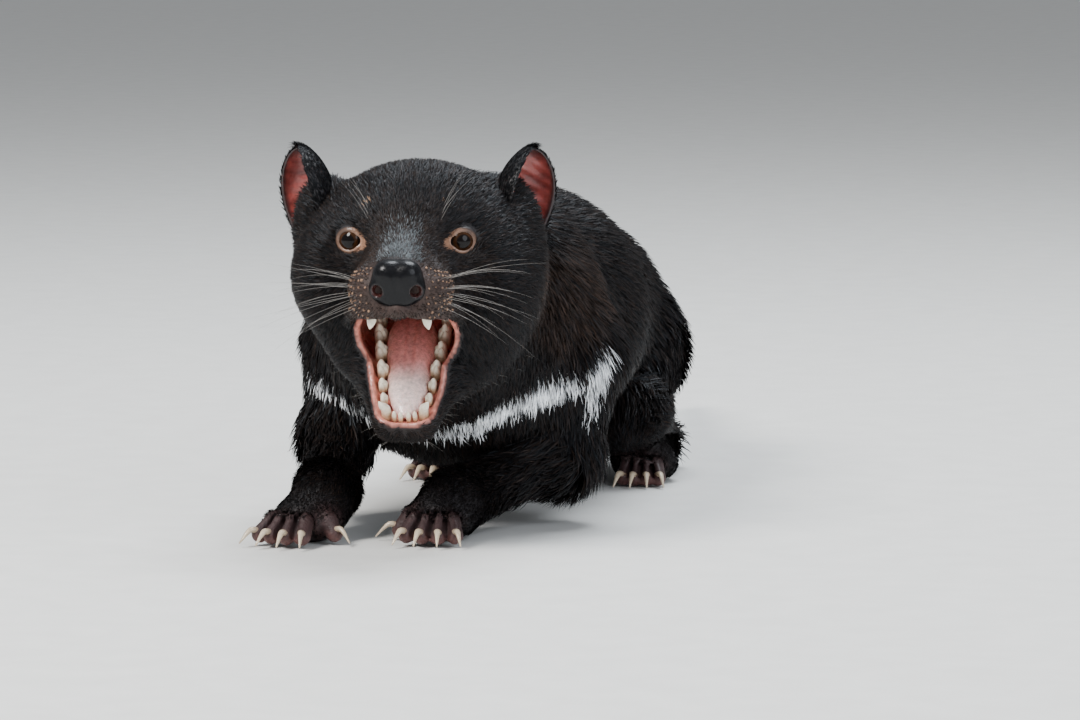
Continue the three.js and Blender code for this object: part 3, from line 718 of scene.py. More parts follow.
def paint_skin(points):
    """Black skin, pale under the white fur, brown on the muzzle, tan by the eyes, pink on toes and mouth,
    with painted shade darker red at the back of the mouth.
    """
    paint = colour(BLACK_SKIN, len(points))
    blend_colour(paint, WHITE_SKIN, white_of(points))
    toes = toe_distance(points)
    blend_colour(paint, BARE_BROWN, 1 - ramp(2, 12, toes), 0.1)
    blend_colour(paint, TOE_PINK, (1 - ramp(-2, 2, toes)) * (1 - ramp(3, 9, points[:, 2])) * 0.6, 0.2)
    head = HEAD.local(points)
    muzzle = (1 - ramp(-40, -8, head[:, 1])) * (1 - ramp(-12, -4, head[:, 2]))
    blend_colour(paint, MUZZLE_BROWN, muzzle)
    blend_colour(paint, LID_TAN, 1 - ramp(-0.4, 1.4, join(points, INNER_CORNERS)), 0.4)
    mouth = mouth_distance(points)
    lip = (1 - ramp(2.6, 4.0, mouth)) * (1 - ramp(-41, -36, head[:, 2]))
    blend_colour(paint, LIP_PINK, lip, 0.7)
    blend_colour(paint, GUM_RED, 1 - ramp(-0.6, 0.8, mouth), 1.0)
    # painted shade: darker red deep in the mouth's hollow and towards its back
    back_of_mouth_shade = (1 - ramp(-1.0, 0.5, mouth)) * ramp(-10, 20, JAW.local(points)[:, 1])
    blend_colour(paint, MOUTH_RED, back_of_mouth_shade, 1.0)
    return paint


def skin():
    """The one skin over all the flesh: its points, quads and outward normals."""
    points, quads = net(skin_form, SKIN_LOW, SKIN_HIGH, SKIN_STEP)
    _, slope = slope_of(skin_form, points, 0.6)
    points[:, 2] = np.maximum(points[:, 2], SKIN_LIFT)
    make_piece("skin", points, quads, skin_material, paint_skin(points), replaces=FLESH_NODES)
    return points, quads, unit(slope)


# Eyes and lids

# Turns away from straight ahead, in degrees, over which one colour of the eye ends and the next begins
PUPIL_EDGE, IRIS_EDGE, BALL_EDGE = (24, 28), (38, 42), (50, 60)
CORNEA = 0.4  # how far the cornea stands out
# Half the lids' opening across and up, as turns about the eye's centre
OPENING_TURN = (math.asin(5.8 / EYE_RADIUS), math.asin(5.1 / EYE_RADIUS))
# The lids' rings from the margin out: how far out, as a share of the opening, and the radius there
LID_ROWS = [(0.95, 8.3), (0.98, 8.6), (1.01, 8.9), (1.05, 9.15), (1.10, 9.3), (1.17, 9.4), (1.26, 9.5),
            (1.4, 9.5), (1.6, 9.2), (2.0, 7.9)]


def on_ball(radius, theta, phi):
    """Points about an eye's centre; theta turns away from straight ahead, phi goes round."""
    out = radius * np.sin(theta)
    return np.stack([out * np.cos(phi), -radius * np.cos(theta), out * np.sin(phi)], -1)


def eye_ball(side):
    """An eye with a raised cornea, a dark pupil and a streaked brown iris."""
    rows, columns = 40, 48
    polar = np.linspace(0, 1, rows) ** 1.15 * math.pi
    angle = np.arange(columns) / columns * 2 * math.pi
    theta, phi = np.meshgrid(polar, angle, indexing="ij")
    radius = EYE_RADIUS - 0.25 + CORNEA * np.exp(-(theta / 0.5) ** 2)
    points = eye_axes(side).place(on_ball(radius, theta, phi).reshape(-1, 3))
    away, phi = np.degrees(theta).ravel(), phi.ravel()
    paint = colour(PUPIL, away.size)
    iris = ramp(*PUPIL_EDGE, away) * (1 - ramp(*IRIS_EDGE, away))
    streak = 0.75 + 0.25 * np.sin(phi * 31) * np.sin(phi * 13 + 1)
    blend_colour(paint, IRIS, iris * streak)
    blend_colour(paint, EYE_RIM, ramp(*BALL_EDGE, away))
    name = SIDE_NAME[side]
    make_piece(f"eye_{name}_ball", points, grid_faces(rows, columns, closed=True), eye_material, paint,
               replaces=[f"eye_{name}"])


def lid_parts(side):
    """Rings round the eye's opening, from its margin out under the skin, tan towards the nose."""
    columns = 64
    phi = np.arange(columns) / columns * 2 * math.pi
    nasal = np.cos(phi) * -side
    corner = np.exp(-((1 - nasal) / 0.10) ** 2)
    opening = 1 / np.sqrt((np.cos(phi) / OPENING_TURN[0]) ** 2 + (np.sin(phi) / OPENING_TURN[1]) ** 2)
    opening = opening * (1 + 0.2 * corner)
    wide = 1.15 + 1.2 * np.maximum(nasal, 0) ** 2 + 0.07 * np.maximum(-np.sin(phi), 0)
    strength = 0.45 + 0.55 * np.maximum(nasal, -0.45 * np.sin(phi))
    rows, tan = [], []
    for scale, radius in LID_ROWS:
        fold = 0.22 * math.sin(scale * 21) * (1 - 0.4 * corner) if scale > 1.1 else 0
        rows.append(on_ball(radius + fold, np.minimum(scale * opening, 1.9), phi))
        tan.append((1 - ramp(wide - 0.08, wide + 0.2, scale)) * strength)
    points = eye_axes(side).place(np.concatenate(rows))
    paint = blend_colour(colour(BLACK_SKIN, len(points), 0.1), LID_TAN, np.concatenate(tan), 0.45)
    return points, grid_faces(len(LID_ROWS), columns, closed=True), paint


def eyes():
    for side in BOTH:
        eye_ball(side)
    points, faces, paint = merge([lid_parts(side) for side in BOTH])
    make_piece("eyelids", points, faces, skin_material, paint)


# Nose and tongue

NOSTRILS = [[limb([s * 12.5, -65, -21.5], 3.6, [s * 9.8, -58, -20.8], 2.7, 1.4, HEAD),
             limb([s * 9.8, -58, -20.8], 2.7, [s * 6.5, -51, -19.5], 1.4, 1.2, HEAD),
             limb([s * 16.5, -57, -23.5], 1.2, [s * 11, -59.5, -21.5], 1.6, 1.4, HEAD)] for s in BOTH]
NOSE = [
    head_shape([0, -53, -15], [10.5, 9, 10], 1),
    *[head_shape([s * 8.6, -52.5, -20], [6.4, 7.5, 6.8], 5) for s in BOTH],
    head_shape([0, -52, -25.5], [8, 6, 5], 5),
    *[head_shape([s * 6.2, -54, -11.5], [6, 7, 6], 4) for s in BOTH],
]
PHILTRUM = [limb([0, -63, -12], 1.0, [0, -60, -31], 1.1, 1.5, HEAD)]
TONGUE = [ellipsoid([0, -8, -39.5], [11.5, 34, 6], 1, JAW), ellipsoid([0, 14, -37], [13, 22, 8.5], 8, JAW)]
NOSE_BOX, TONGUE_BOX = ([-19, -66, -34], [19, -42, -2]), ([-16, -46, -48], [16, 40, -24])
NOSE_STEP, TONGUE_STEP = 0.8, 1.2
GROOVE = [limb([0, 26, -26], 1.4, [0, -34, -33.4], 1.2, 3, JAW)]


def nose_form(points):
    return carve(points, join(points, NOSE), [*NOSTRILS[0], *NOSTRILS[1], *PHILTRUM])


def tongue_form(points):
    return carve(points, join(points, TONGUE), GROOVE)


def box_round(axes, low, high):
    """The animal's own box round a box in a part's axes."""
    corners = [[x, y, z] for x in (low[0], high[0]) for y in (low[1], high[1]) for z in (low[2], high[2])]
    placed = axes.place(corners)
    return placed.min(0), placed.max(0)


def nose():
    """The leather, with red nostrils."""
    points, quads = net(nose_form, *box_round(HEAD, *NOSE_BOX), NOSE_STEP)
    depth = np.min([join(points, [(field, box, 1.0) for field, box, _ in nostril]) for nostril in NOSTRILS],
                   axis=0)
    paint = colour(NOSE_BLACK, len(points), 0.2)
    blend_colour(paint, NOSTRIL_RED, 1 - ramp(0.0, 0.6, depth), 0.9)
    make_piece("nose_leather", points, quads, nose_material, paint, replaces=["nose"])


def tongue():
    """Painted light makes it pale in front and painted shade makes it darker red behind, with a red streak on
    each side of the groove.
    """
    points, quads = net(tongue_form, *box_round(JAW, *TONGUE_BOX), TONGUE_STEP)
    x, y, z = JAW.local(points).T
    paint = colour(TONGUE_RED, len(points), 0.8)
    # painted light: the front of the tongue made pale where it sits in full light
    blend_colour(paint, TONGUE_PAINTED_LIGHT, (1 - ramp(-22, -4, y)) * ramp(-42, -36, z), 0.8)
    # painted shade: darker red towards the back, where the upper jaw shades the tongue
    blend_colour(paint, MOUTH_RED, ramp(8, 34, y) * 0.45)
    streaks = np.exp(-((np.abs(x) - 2.4) / 0.7) ** 2) * ramp(-20, -6, y)
    blend_colour(paint, MOUTH_RED, 0.3 * streaks)
    make_piece("tongue_flesh", points, quads, tongue_material, paint, replaces=["tongue"])


# Teeth: (y, x, height, radius, lean) along each row

UPPER_TEETH = [(-46.5, 2.3, 4, 1.5, 0), (-46, 6, 4, 1.5, 0), (-43, 14, 10.5, 2.9, 1.2),
               (-34, 16.5, 5.5, 2.3, 0), (-26, 18.5, 6, 2.7, 0), (-17, 20.5, 7, 3.4, 0),
               (-7, 22, 7.5, 3.8, 0)]
LOWER_TEETH = [(-44, 2.1, 4.5, 1.3, 0), (-43.5, 5.4, 4.5, 1.3, 0), (-41, 9.8, 11, 2.6, 3),
               (-30, 12, 5, 2.1, 0), (-20, 13.4, 6, 2.5, 0), (-8.6, 14.5, 8.4, 3.2, 0),
               (5, 16.2, 9.4, 3.6, 0), (18, 17.4, 9.5, 3.7, 0), (30, 18.4, 8.5, 3.5, 0)]
UPPER_GUM, LOWER_GUM = -31, -37.6
UPPER_ROOT, LOWER_ROOT = -0.1, -0.5  # where a root starts, as a share of the tooth's height
CHEEK_RADIUS = 2.0  # the least radius of an upright tooth with several cusps

# A cheek tooth's cusps: how far out, how far back, how thick and how tall, as shares of the tooth's own size
CUSPS = [(0.0, 0.0, 0.78, 1.0), (0.05, -0.75, 0.62, 0.74), (0.05, 0.85, 0.66, 0.66), (-0.6, -0.35, 0.5, 0.6),
         (-0.6, 0.45, 0.55, 0.52)]


def cheek_spines(row, side, gum, way, root):
    """The line and radii of each cusp."""
    y, x, height, radius, _ = row
    spines = []
    for out, back, size, lift in CUSPS:
        path = [[side * x + side * out * radius, y + back * radius, gum + way * height * t * lift]
                for t in (root, 0.3, 0.75, 1.0)]
        radii = np.array([1, 1.05, 0.72, 0.2]) * radius * size
        spines.append((spline(path, 8), spline_radii(radii, 8)))
    return spines


def front_spine(row, side, gum, way, root):
    """The line and radii of a cutting or an eye tooth."""
    y, x, height, radius, lean = row
    stations = [(root, 0, 0, 1.0), (0.3, 0, 0, 1.0), (0.75, 0.5, 0.8, 0.72), (1.0, 1.0, 0.8, 0.2)]
    path = [[side * x + side * lean * a, y - b * lean, gum + way * height * t] for t, a, b, _ in stations]
    return spline(path, 9), spline_radii([radius * share for *_, share in stations], 9)


def tooth_parts(axes, gum, way, root, side, row):
    """One tooth growing up or down from the gum, browner at its root."""
    *_, height, radius, lean = row
    if lean == 0 and radius >= CHEEK_RADIUS:
        spines = cheek_spines(row, side, gum, way, root)
    else:
        spines = [front_spine(row, side, gum, way, root)]
    parts = []
    for path, radii in spines:
        points, faces = tube(axes.place(path), radii, 12)
        bared = way * (axes.local(points)[:, 2] - gum) / height
        paint = blend_colour(colour(IVORY, len(points)), TOOTH_ROOT, 1 - ramp(0.0, 0.45, bared))
        parts.append((points, faces, paint))
    return parts


def teeth():
    parts = []
    for side in BOTH:
        for row in UPPER_TEETH:
            parts += tooth_parts(HEAD, UPPER_GUM, -1, UPPER_ROOT, side, row)
        for row in LOWER_TEETH:
            parts += tooth_parts(JAW, LOWER_GUM, 1, LOWER_ROOT, side, row)
    points, faces, paint = merge(parts)
    make_piece("teeth", points, faces, bone_material, paint)


def claw_parts(toe):
    """A claw curving down from a toe's tip."""
    root = ahead(toe["angle"], -1, toe["tip"], 1.5)
    crest = ahead(toe["angle"], CLAW_LENGTH * 0.5, toe["tip"], 2.6)
    point = ahead(toe["angle"], CLAW_LENGTH, toe["tip"], -3.6)
    path = spline([root, (root + crest) / 2 + [0, 0, 0.5], crest, point], 11)
    points, faces = tube(path, spline_radii([2.3, 2.25, 1.6, 0.4], 11), 10, 0.8)
    near_root = 1 - ramp(2, 8, np.linalg.norm(points - root, axis=1))
    return points, faces, blend_colour(colour(CLAW, len(points)), CLAW_ROOT, near_root)


def claws():
    points, faces, paint = merge([claw_parts(toe) for toe in ALL_TOES])
    make_piece("claws", points, faces, bone_material, paint)


# Ears

EAR_ROOT, EAR_HEIGHT, EAR_WIDTH, EAR_DEPTH = [50, 50, -6], 52, 18.5, 15
EAR_LEAN, EAR_SPLAY, EAR_TURN = 4, 17, 60
EAR_WALL = 0.8


def ear_axes(side):
    splay, twist = turn_about(Y, side * EAR_SPLAY), turn_about(Z, side * EAR_TURN)
    return Axes(HEAD.turn @ splay @ twist @ turn_about(X, -EAR_LEAN), HEAD.place(mirror(EAR_ROOT, side)))


def ear_point(u, v, thick):
    """u goes round the shell from one edge to the other, v from its root to its tip."""
    half = np.maximum(0.03, np.sqrt(np.maximum(1 - v ** 4, 0))) * (0.74 + 0.36 * np.sin(0.8 * math.pi * v))
    angle = np.radians(98) * u
    grow = thick * (1.2 + 2.4 * (1 - v)) * np.cos(0.8 * u)
    across = (EAR_WIDTH * half + grow) * np.sin(angle)
    back = (EAR_DEPTH * half + grow) * (np.cos(angle) - 0.3)
    return np.stack([across, back, EAR_HEIGHT * v + 1.2 * thick * v], -1)


def fold_of(u, v):
    """The folds inside the ear, in millimetres towards its hollow."""
    def up_to(reach):
        return np.sin(math.pi * np.clip(v * reach, 0, 1))

    long_fold = 2.2 * np.exp(-((u - 0.35 + 0.25 * v) / 0.13) ** 2) * up_to(1.1)
    second = 1.6 * np.exp(-((u + 0.35 - 0.1 * v) / 0.11) ** 2) * up_to(1.3)
    ripples = 2.4 * np.maximum(np.sin(v * 16 + np.sin(u * 5) + 1.6 * u - 0.6), -0.3) * up_to(1)
    fine = 0.3 * np.sin(v * 55 + u * 9)
    return long_fold + second + ripples * np.exp(-(u / 0.75) ** 4) + fine


def ear_parts(side):
    """A shell with a folded pink inside, painted shade in its creases and at its root and painted highlights
    on its ridges, a dark rim and a black back.
    """
    rows, columns = 72, 60
    size = rows * columns
    v, u = np.meshgrid(np.linspace(-0.14, 1, rows), np.linspace(-1, 1, columns), indexing="ij")
    inner, outer = ear_point(u, v, 0.0), ear_point(u, v, EAR_WALL)
    centre = np.stack([np.zeros_like(u), np.full_like(u, EAR_DEPTH * 0.1), inner[..., 2]], -1)
    towards = centre - inner
    towards /= np.maximum(np.linalg.norm(towards, axis=-1), 1e-6)[..., None]
    free = (1 - np.abs(u) ** 6) * (1 - ramp(0.85, 1.0, v))
    inner = inner + towards * (fold_of(u, v) * free)[..., None]
    points = np.concatenate([inner.reshape(-1, 3), outer.reshape(-1, 3)])

    ring = np.concatenate([np.arange(columns), np.arange(1, rows) * columns + columns - 1,
                           size - 2 - np.arange(columns - 1), (rows - 2 - np.arange(rows - 2)) * columns])
    following = np.roll(ring, -1)
    rim = np.stack([following, ring, ring + size, following + size], 1)
    inside = grid_faces(rows, columns)
    faces = np.concatenate([inside, inside[:, ::-1] + size, rim])

    paint, back = colour(EAR_PINK, size, 0.25), colour(BLACK_SKIN, size)
    folds = fold_of(u, v).ravel()
    # painted shade in the folds' creases
    blend_colour(paint, EAR_CREASE_SHADE, 0.8 * (1 - ramp(-0.9, 0.3, folds)))
    # painted highlight on the folds' ridges
    blend_colour(paint, EAR_RIDGE_HIGHLIGHT, ramp(1.2, 3.0, folds), 0.7)
    # painted shade deep in the hollow at the ear's root
    blend_colour(paint, EAR_ROOT_SHADE, (1 - ramp(-0.05, 0.35, v)).ravel())
    blend_colour(paint, BARE_BROWN, ramp(0.86, 1.0, np.maximum(np.abs(u), v)).ravel(), 0.1)
    return ear_axes(side).place(points), faces[:, ::side], np.concatenate([paint, back])


def ears():
    for side in BOTH:
        name = SIDE_NAME[side]
        points, faces, paint = ear_parts(side)
        make_piece(f"ear_{name}_shell", points, faces, ear_material, paint,
                   replaces=[f"ear_{name}"])


# Coat: every tuft is a thin blade of five triangles, rooted in the skin and lying along the coat

TUFTS = 230000
EAR_TUFTS = 7000
BLADE = np.array([[0, 2, 1], [1, 2, 3], [2, 4, 3], [3, 4, 5], [4, 6, 5]])
BLADE_AT = np.array([0, 0, 0.36, 0.36, 0.72, 0.72, 1.0])
BLADE_SIDE = np.array([-1, 1, -1, 1, -1, 1, 0])
BLADE_WIDTH = np.array([0.8, 0.8, 1.0, 1.0, 0.6, 0.6, 0.0])
PATCH = 0.003  # a tuft's patch on the coat's map
STRAY, ROLL, BEND = 0.16, 0.5, 0.10  # how far tufts stray from the lie, roll on it and bend sideways
# Tuft lengths: the least, on the muzzle, and what the face, and then the neck and body, add to it
MUZZLE_LENGTH, FACE_LENGTH, BODY_LENGTH = 1.9, 8.2, 12
# The least on the feet, and what the legs add; how much shorter the tail's are, and its tip's longer ones
FOOT_LENGTH, LEG_LENGTH, TAIL_SHORTER, TAIL_TUFT = 2.6, 15, 0.3, 5
# How much denser tufts grow on the face and feet, and how much thinner on the whisker pads
FACE_DENSER, FEET_DENSER, PADS_THINNER = 2.2, 2.4, 0.55
EYE_GAP, MOUTH_GAP, CORNER_GAP, FLOOR_GAP = 1.5, 1.5, 0.7, 0.6  # how far tufts keep from bare parts
TRUNK_CUTS = [-120, -30, 60]  # where the trunk's coat is cut into pieces along y
REGIONS = ["head", "head", "trunk", *LEG_JOINTS, "tail"]


def region_distances(points):
    """Distances to the head, the jaw, the trunk, each leg and the tail, in the order of REGIONS."""
    groups = [SKULL, JAW_BONE, TRUNK, *LEGS.values(), [TAIL]]
    return np.stack([join(points, group) for group in groups], 1)


def lie_on_leg(name, points):
    """Down the leg, and forward on the foot."""
    places = [place for place, _ in LEG_JOINTS[name]] + [FEET[name]["palm"]]
    joints = [np.array(place, float) for place in places]
    best = np.full(len(points), 1e9)
    lie = np.zeros((len(points), 3))
    for a, b in zip(joints, joints[1:]):
        _, away = along_line(points, a, b)
        nearer = away < best
        best[nearer] = away[nearer]
        lie[nearer] = (b - a) / np.linalg.norm(b - a)
    lie[foot_distance(points) < 30] = ahead(FEET[name]["heading"], 1, [0, 0, 0], -0.25)
    return lie


def lie_on_head(points):
    """Away from the nose, over the brow and back."""
    head = HEAD.local(points)
    away = unit(head - [0, -62, -14])
    away[:, 1] = np.abs(away[:, 1]) + 0.35
    away[:, 2] -= 0.35 * ramp(10, 50, head[:, 2]) * ramp(20, 60, head[:, 1])
    return HEAD.direction(away)


def lie_on_trunk(points):
    """Back, and down over the flanks and chest."""
    down = ramp(10, 70, np.abs(points[:, 0]))
    chest = 1 - ramp(-170, -110, points[:, 1])
    return np.stack([0.12 * np.sign(points[:, 0]), 0.9 - 0.75 * chest, -0.15 - 0.75 * down - 0.7 * chest], 1)


def lie_of(points):
    """The way the hair points, blended from each region's own run."""
    weight = np.exp(-np.maximum(region_distances(points) + 8, 0) / 7)
    ones = np.ones(len(points))
    jaw = JAW.direction(np.stack([0.25 * np.sign(JAW.local(points)[:, 0]), 0.9 * ones, -0.3 * ones], 1))
    tail = np.tile(np.array(TAIL_TIP, float) - TAIL_ROOT, (len(points), 1))
    legs = [lie_on_leg(name, points) for name in LEG_JOINTS]
    lies = [lie_on_head(points), jaw, lie_on_trunk(points), *legs, tail]
    return unit(sum(weight[:, [k]] * unit(lie) for k, lie in enumerate(lies)))


def coat_length(points):
    """Tufts of 2 mm on the muzzle, 10 on the cheeks and 22 behind the head, shorter on feet and tail."""
    head = HEAD.local(points)
    length = MUZZLE_LENGTH + FACE_LENGTH * ramp(-45, 45, head[:, 1]) + BODY_LENGTH * ramp(45, 95, head[:, 1])
    length = np.minimum(length, FOOT_LENGTH + LEG_LENGTH * ramp(18, 78, foot_distance(points)))
    tail = ramp(180, 380, points[:, 1])
    return length * (1 - TAIL_SHORTER * tail) + TAIL_TUFT * ramp(375, 400, points[:, 1])


def growth(points):
    """How thickly tufts grow: not at all on bare skin, thinly on the whisker pads, most on face and feet."""
    head = HEAD.local(points)
    density = 1 + FACE_DENSER * (1 - ramp(10, 95, head[:, 1])) * (head[:, 2] > -110)
    density += FEET_DENSER * (1 - ramp(30, 60, foot_distance(points)))
    furred = ramp(3.6, 6.0, mouth_distance(points))
    furred *= ramp(0.3, 3, toe_distance(points))
    for side in BOTH:
        furred *= ramp(8.8, 9.8, np.linalg.norm(points - eye_axes(side).origin, axis=1))
    furred *= ramp(0.3, 1.6, join(points, NOSE))
    furred *= ramp(0.0, 1.2, join(points, INNER_CORNERS))
    furred *= points[:, 2] > 3
    pads = (1 - ramp(-34, -14, head[:, 1])) * (1 - ramp(-14, -8, head[:, 2]))
    furred *= 1 - PADS_THINNER * pads
    return density * furred


def rooted(count, points, quads, keep):
    """Random places on the quads, as a function that gives a value of the points at each place."""
    a, b, c, d = (points[quads[:, k]] for k in range(4))
    area = np.linalg.norm(np.cross(b - a, c - a), axis=1) + np.linalg.norm(np.cross(c - a, d - a), axis=1)
    chance = area / 2 * keep
    corners = quads[rng.choice(len(quads), count, p=chance / chance.sum())].T
    s, t = rng.random((2, count, 1))

    def at_places(value):
        v0, v1, v2, v3 = (value[corner] for corner in corners)
        return v0 * (1 - s) * (1 - t) + v1 * s * (1 - t) + v2 * s * t + v3 * (1 - s) * t

    return at_places


def flattened(lies, normals):
    """The lies turned into the skin's plane."""
    return lies - (lies * normals).sum(1)[:, None] * normals


def blades(roots, normals, lies, lengths, widths, rise, tint, uv):
    """The tufts' points, faces, paint and map."""
    count = len(roots)
    flat = unit(flattened(lies, normals) + 1e-6)
    flat = unit(flat + rng.normal(0, STRAY, (count, 1)) * np.cross(normals, flat))
    side = np.cross(normals, flat)
    roll = rng.normal(0, ROLL, (count, 1))
    wide = side * np.cos(roll) + normals * np.sin(roll)
    bend = rng.normal(0, BEND, (count, 1))
    at = BLADE_AT[None, :, None]
    lift = rise[:, None, None] * (1.7 * at - 0.8 * at ** 2) - 0.5
    path = roots[:, None] + flat[:, None] * (lengths[:, None, None] * at) + normals[:, None] * lift
    path = path + side[:, None] * (bend[:, None] * lengths[:, None, None] * at ** 2)
    points = path + wide[:, None] * (BLADE_SIDE * BLADE_WIDTH)[None, :, None] * widths[:, None, None] / 2
    faces = np.arange(count)[:, None, None] * len(BLADE_AT) + BLADE[None]
    paint = np.ones((count, len(BLADE_AT), 4))
    paint[..., :3] = tint[:, None] * (0.75 + 0.5 * at)
    corner = np.stack([BLADE_SIDE * 0.5, BLADE_AT - 0.5], 1) * PATCH
    uv = uv[:, None] + corner[None]
    return points.reshape(-1, 3), faces.reshape(-1, 3), paint.reshape(-1, 4), uv.reshape(-1, 2)


def unwrap(points, region):
    """Round and along the region's own axis, from 0 to 1."""
    if region == "head":
        local, low, span = HEAD.local(points), -60, 180
    elif region == "tail":
        local, low, span = points - [-4, 0, 66], 160, 250
    elif region in LEG_JOINTS:
        middle = np.mean([place for place, _ in LEG_JOINTS[region]], axis=0)
        local, low, span = (points - middle)[:, [0, 2, 1]], -110, 190
    else:
        local, low, span = points - [0, 0, 102], -200, 420
    turn = np.arctan2(local[:, 2], local[:, 0]) / (2 * math.pi) + 0.5
    along = np.clip(0.02 + 0.96 * (local[:, 1] - low) / span, 0.01, 0.99)
    return np.stack([0.01 + 0.98 * turn, along], 1)


def spotted(tint, amount, least, most, rgb, darkest, lightest):
    """The tint, with the colour on tufts picked at random where the amount is high."""
    count = len(tint)
    picked = (amount > rng.uniform(least, most, count))[:, None]
    return np.where(picked, np.array(rgb) * rng.uniform(darkest, lightest, (count, 1)), tint)


def tuft_tint(points):
    """Black-brown, browner on the muzzle and shoulder, a painted grey sheen over the nose, white in the
    markings.
    """
    count = len(points)
    head = HEAD.local(points)
    brown = np.clip(rng.normal(0.12, 0.2, count), 0, 1)
    brown = np.clip(brown + 0.45 * (1 - ramp(-40, 0, head[:, 1])), 0, 1)
    tint = np.array(COAT_BLACK) * (1 - brown[:, None]) + np.array(COAT_BROWN) * brown[:, None]
    warm = 1 - ramp(0, 14, join(points, BROWN_SHOULDER))
    tint = tint + np.array(COAT_BROWN) * (warm * rng.uniform(0, 0.9, count))[:, None]
    tint = tint * rng.uniform(0.7, 1.3, (count, 1))
    # painted sheen: grey tufts over the nose's bridge stand for light glancing off the short fur
    bridge_sheen = (1 - ramp(-44, -14, head[:, 1])) * (1 - ramp(4, 14, np.abs(head[:, 0])))
    tint = spotted(tint, bridge_sheen * ramp(-14, -6, head[:, 2]), 0.05, 1.1, BRIDGE_SHEEN_GREY, 0.5, 1.2)
    tint = spotted(tint, 1 - ramp(-1.5, 1.5, join(points, BROW_SPOTS)), 0.2, 1.6, PAD_TAN, 0.5, 1.1)
    ragged = white_of(points + rng.normal(0, 1.3, (count, 3)))
    return spotted(tint, ragged, 0.15, 0.6, COAT_WHITE, 0.75, 1.05)


def keeps_clear(roots, normals, lies, lengths, rise):
    """Whether a tuft keeps off the eyes and their corners, the mouth and the floor."""
    flat = unit(flattened(lies, normals))

    def along(share):
        return roots + flat * (lengths * share)[:, None] + normals * rise[:, None]

    clear = np.ones(len(roots), bool)
    for side in BOTH:
        for share in (0.5, 0.8, 1.0):
            away = np.linalg.norm(along(share) - eye_axes(side).origin, axis=1)
            clear &= away > EYE_RADIUS + EYE_GAP
    for share in (0.6, 1.0):
        there = along(share)
        clear &= mouth_distance(there) > MOUTH_GAP
        clear &= join(there, INNER_CORNERS) > CORNER_GAP
        clear &= there[:, 2] > FLOOR_GAP
    return clear


def coat(skin_points, skin_quads, skin_normals):
    """All the fur but the ears': pieces for the head's sides, parts of the trunk, the legs and the tail."""
    growing = growth(skin_points[skin_quads].mean(1))
    at_places = rooted(TUFTS, skin_points, skin_quads, growing)
    roots = at_places(skin_points)
    normals = unit(at_places(skin_normals))
    lies = lie_of(roots)
    lengths = coat_length(roots) * rng.uniform(0.75, 1.15, TUFTS)
    rise = (coat_depth(roots) + 0.5) * rng.uniform(0.7, 1.15, TUFTS) + 0.1 * lengths + 0.25
    widths = 0.24 + 0.036 * lengths
    widths *= rng.uniform(0.8, 1.25, TUFTS)
    clear = keeps_clear(roots, normals, lies, lengths, rise)
    tints = tuft_tint(roots)

    region = np.array(REGIONS)[region_distances(roots).argmin(1)]
    flank = np.where(roots[:, 0] > 0, "left", "right")
    stretch = np.digitize(roots[:, 1], TRUNK_CUTS).astype(str)
    label = np.where(region == "trunk", np.char.add(np.char.add("trunk_", flank), stretch), region)
    label = np.where(region == "head", np.char.add("head_", flank), label)
    for part in sorted(set(label)):
        pick = clear & (label == part)
        tufts = (value[pick] for value in (roots, normals, lies, lengths, widths, rise, tints))
        places = unwrap(roots[pick], region[pick][0])
        points, faces, paint, uv = blades(*tufts, places)
        points[:, 2] = np.maximum(points[:, 2], TUFT_LIFT)
        make_piece(f"coat_{part}", points, faces, coat_material, paint, uv=uv)


def ear_tufts(side):
    """Short hair on the outside of an ear, longer at its tip."""
    u = rng.uniform(-1, 1, EAR_TUFTS)
    v = rng.uniform(-0.1, 1, EAR_TUFTS)
    probe = 1e-3
    outer = ear_point(u, v, EAR_WALL)
    du = ear_point(u + probe, v, EAR_WALL) - outer
    upper = np.minimum(v + probe, 1.0)
    dv = ear_point(u, upper, EAR_WALL) - ear_point(u, upper - probe, EAR_WALL)
    normal = unit(np.cross(du, dv))
    hollow = np.stack([np.zeros(EAR_TUFTS), np.full(EAR_TUFTS, EAR_DEPTH * 0.1), outer[:, 2]], 1)
    normal *= np.sign(((outer - hollow) * normal).sum(1))[:, None]
    axes = ear_axes(side)
    lie = axes.direction(unit(dv) + 0.25 * np.sign(u)[:, None] * unit(du))
    length = rng.uniform(3.5, 6.0, EAR_TUFTS) * (1 - 0.35 * v) + 4.5 * ramp(0.86, 1, v) * (np.abs(u) < 0.45)
    width, rise = np.full(EAR_TUFTS, 0.45), np.full(EAR_TUFTS, 0.9)
    tint = np.array(COAT_BLACK) * rng.uniform(0.8, 1.8, (EAR_TUFTS, 1))
    half = 0 if side > 0 else 0.5
    uv = np.stack([0.02 + 0.46 * (u + 1) / 2 + half, 0.02 + 0.9 * (v + 0.1) / 1.1], 1)
    return blades(axes.place(outer), axes.direction(normal), lie, length, width, rise, tint, uv)


def ear_coat():
    sets = [ear_tufts(side) for side in BOTH]
    points, faces, paint = merge([tufts[:3] for tufts in sets])
    uv = np.concatenate([tufts[3] for tufts in sets])
    make_piece("coat_ears", points, faces, coat_material, paint, uv=uv)


# Whiskers

PAD_CENTRE = [13, -33, -21.5]
WHISKER_RADIUS, BROW_RADIUS = 0.1, 0.11


def whisker(root, way, length, droop, radius=WHISKER_RADIUS):
    """A tapering hair that bends down towards its tip."""
    t = np.linspace(0, 1, 9)[:, None]
    path = root + way * length * t + np.array([0, 0, -droop]) * length * t ** 2
    points, faces = tube(path, radius * (1 - 0.8 * t[:, 0]), 5)
    return points, faces, colour(IVORY, len(points))


def unit_of(vector):
    return unit(vector[None])[0]


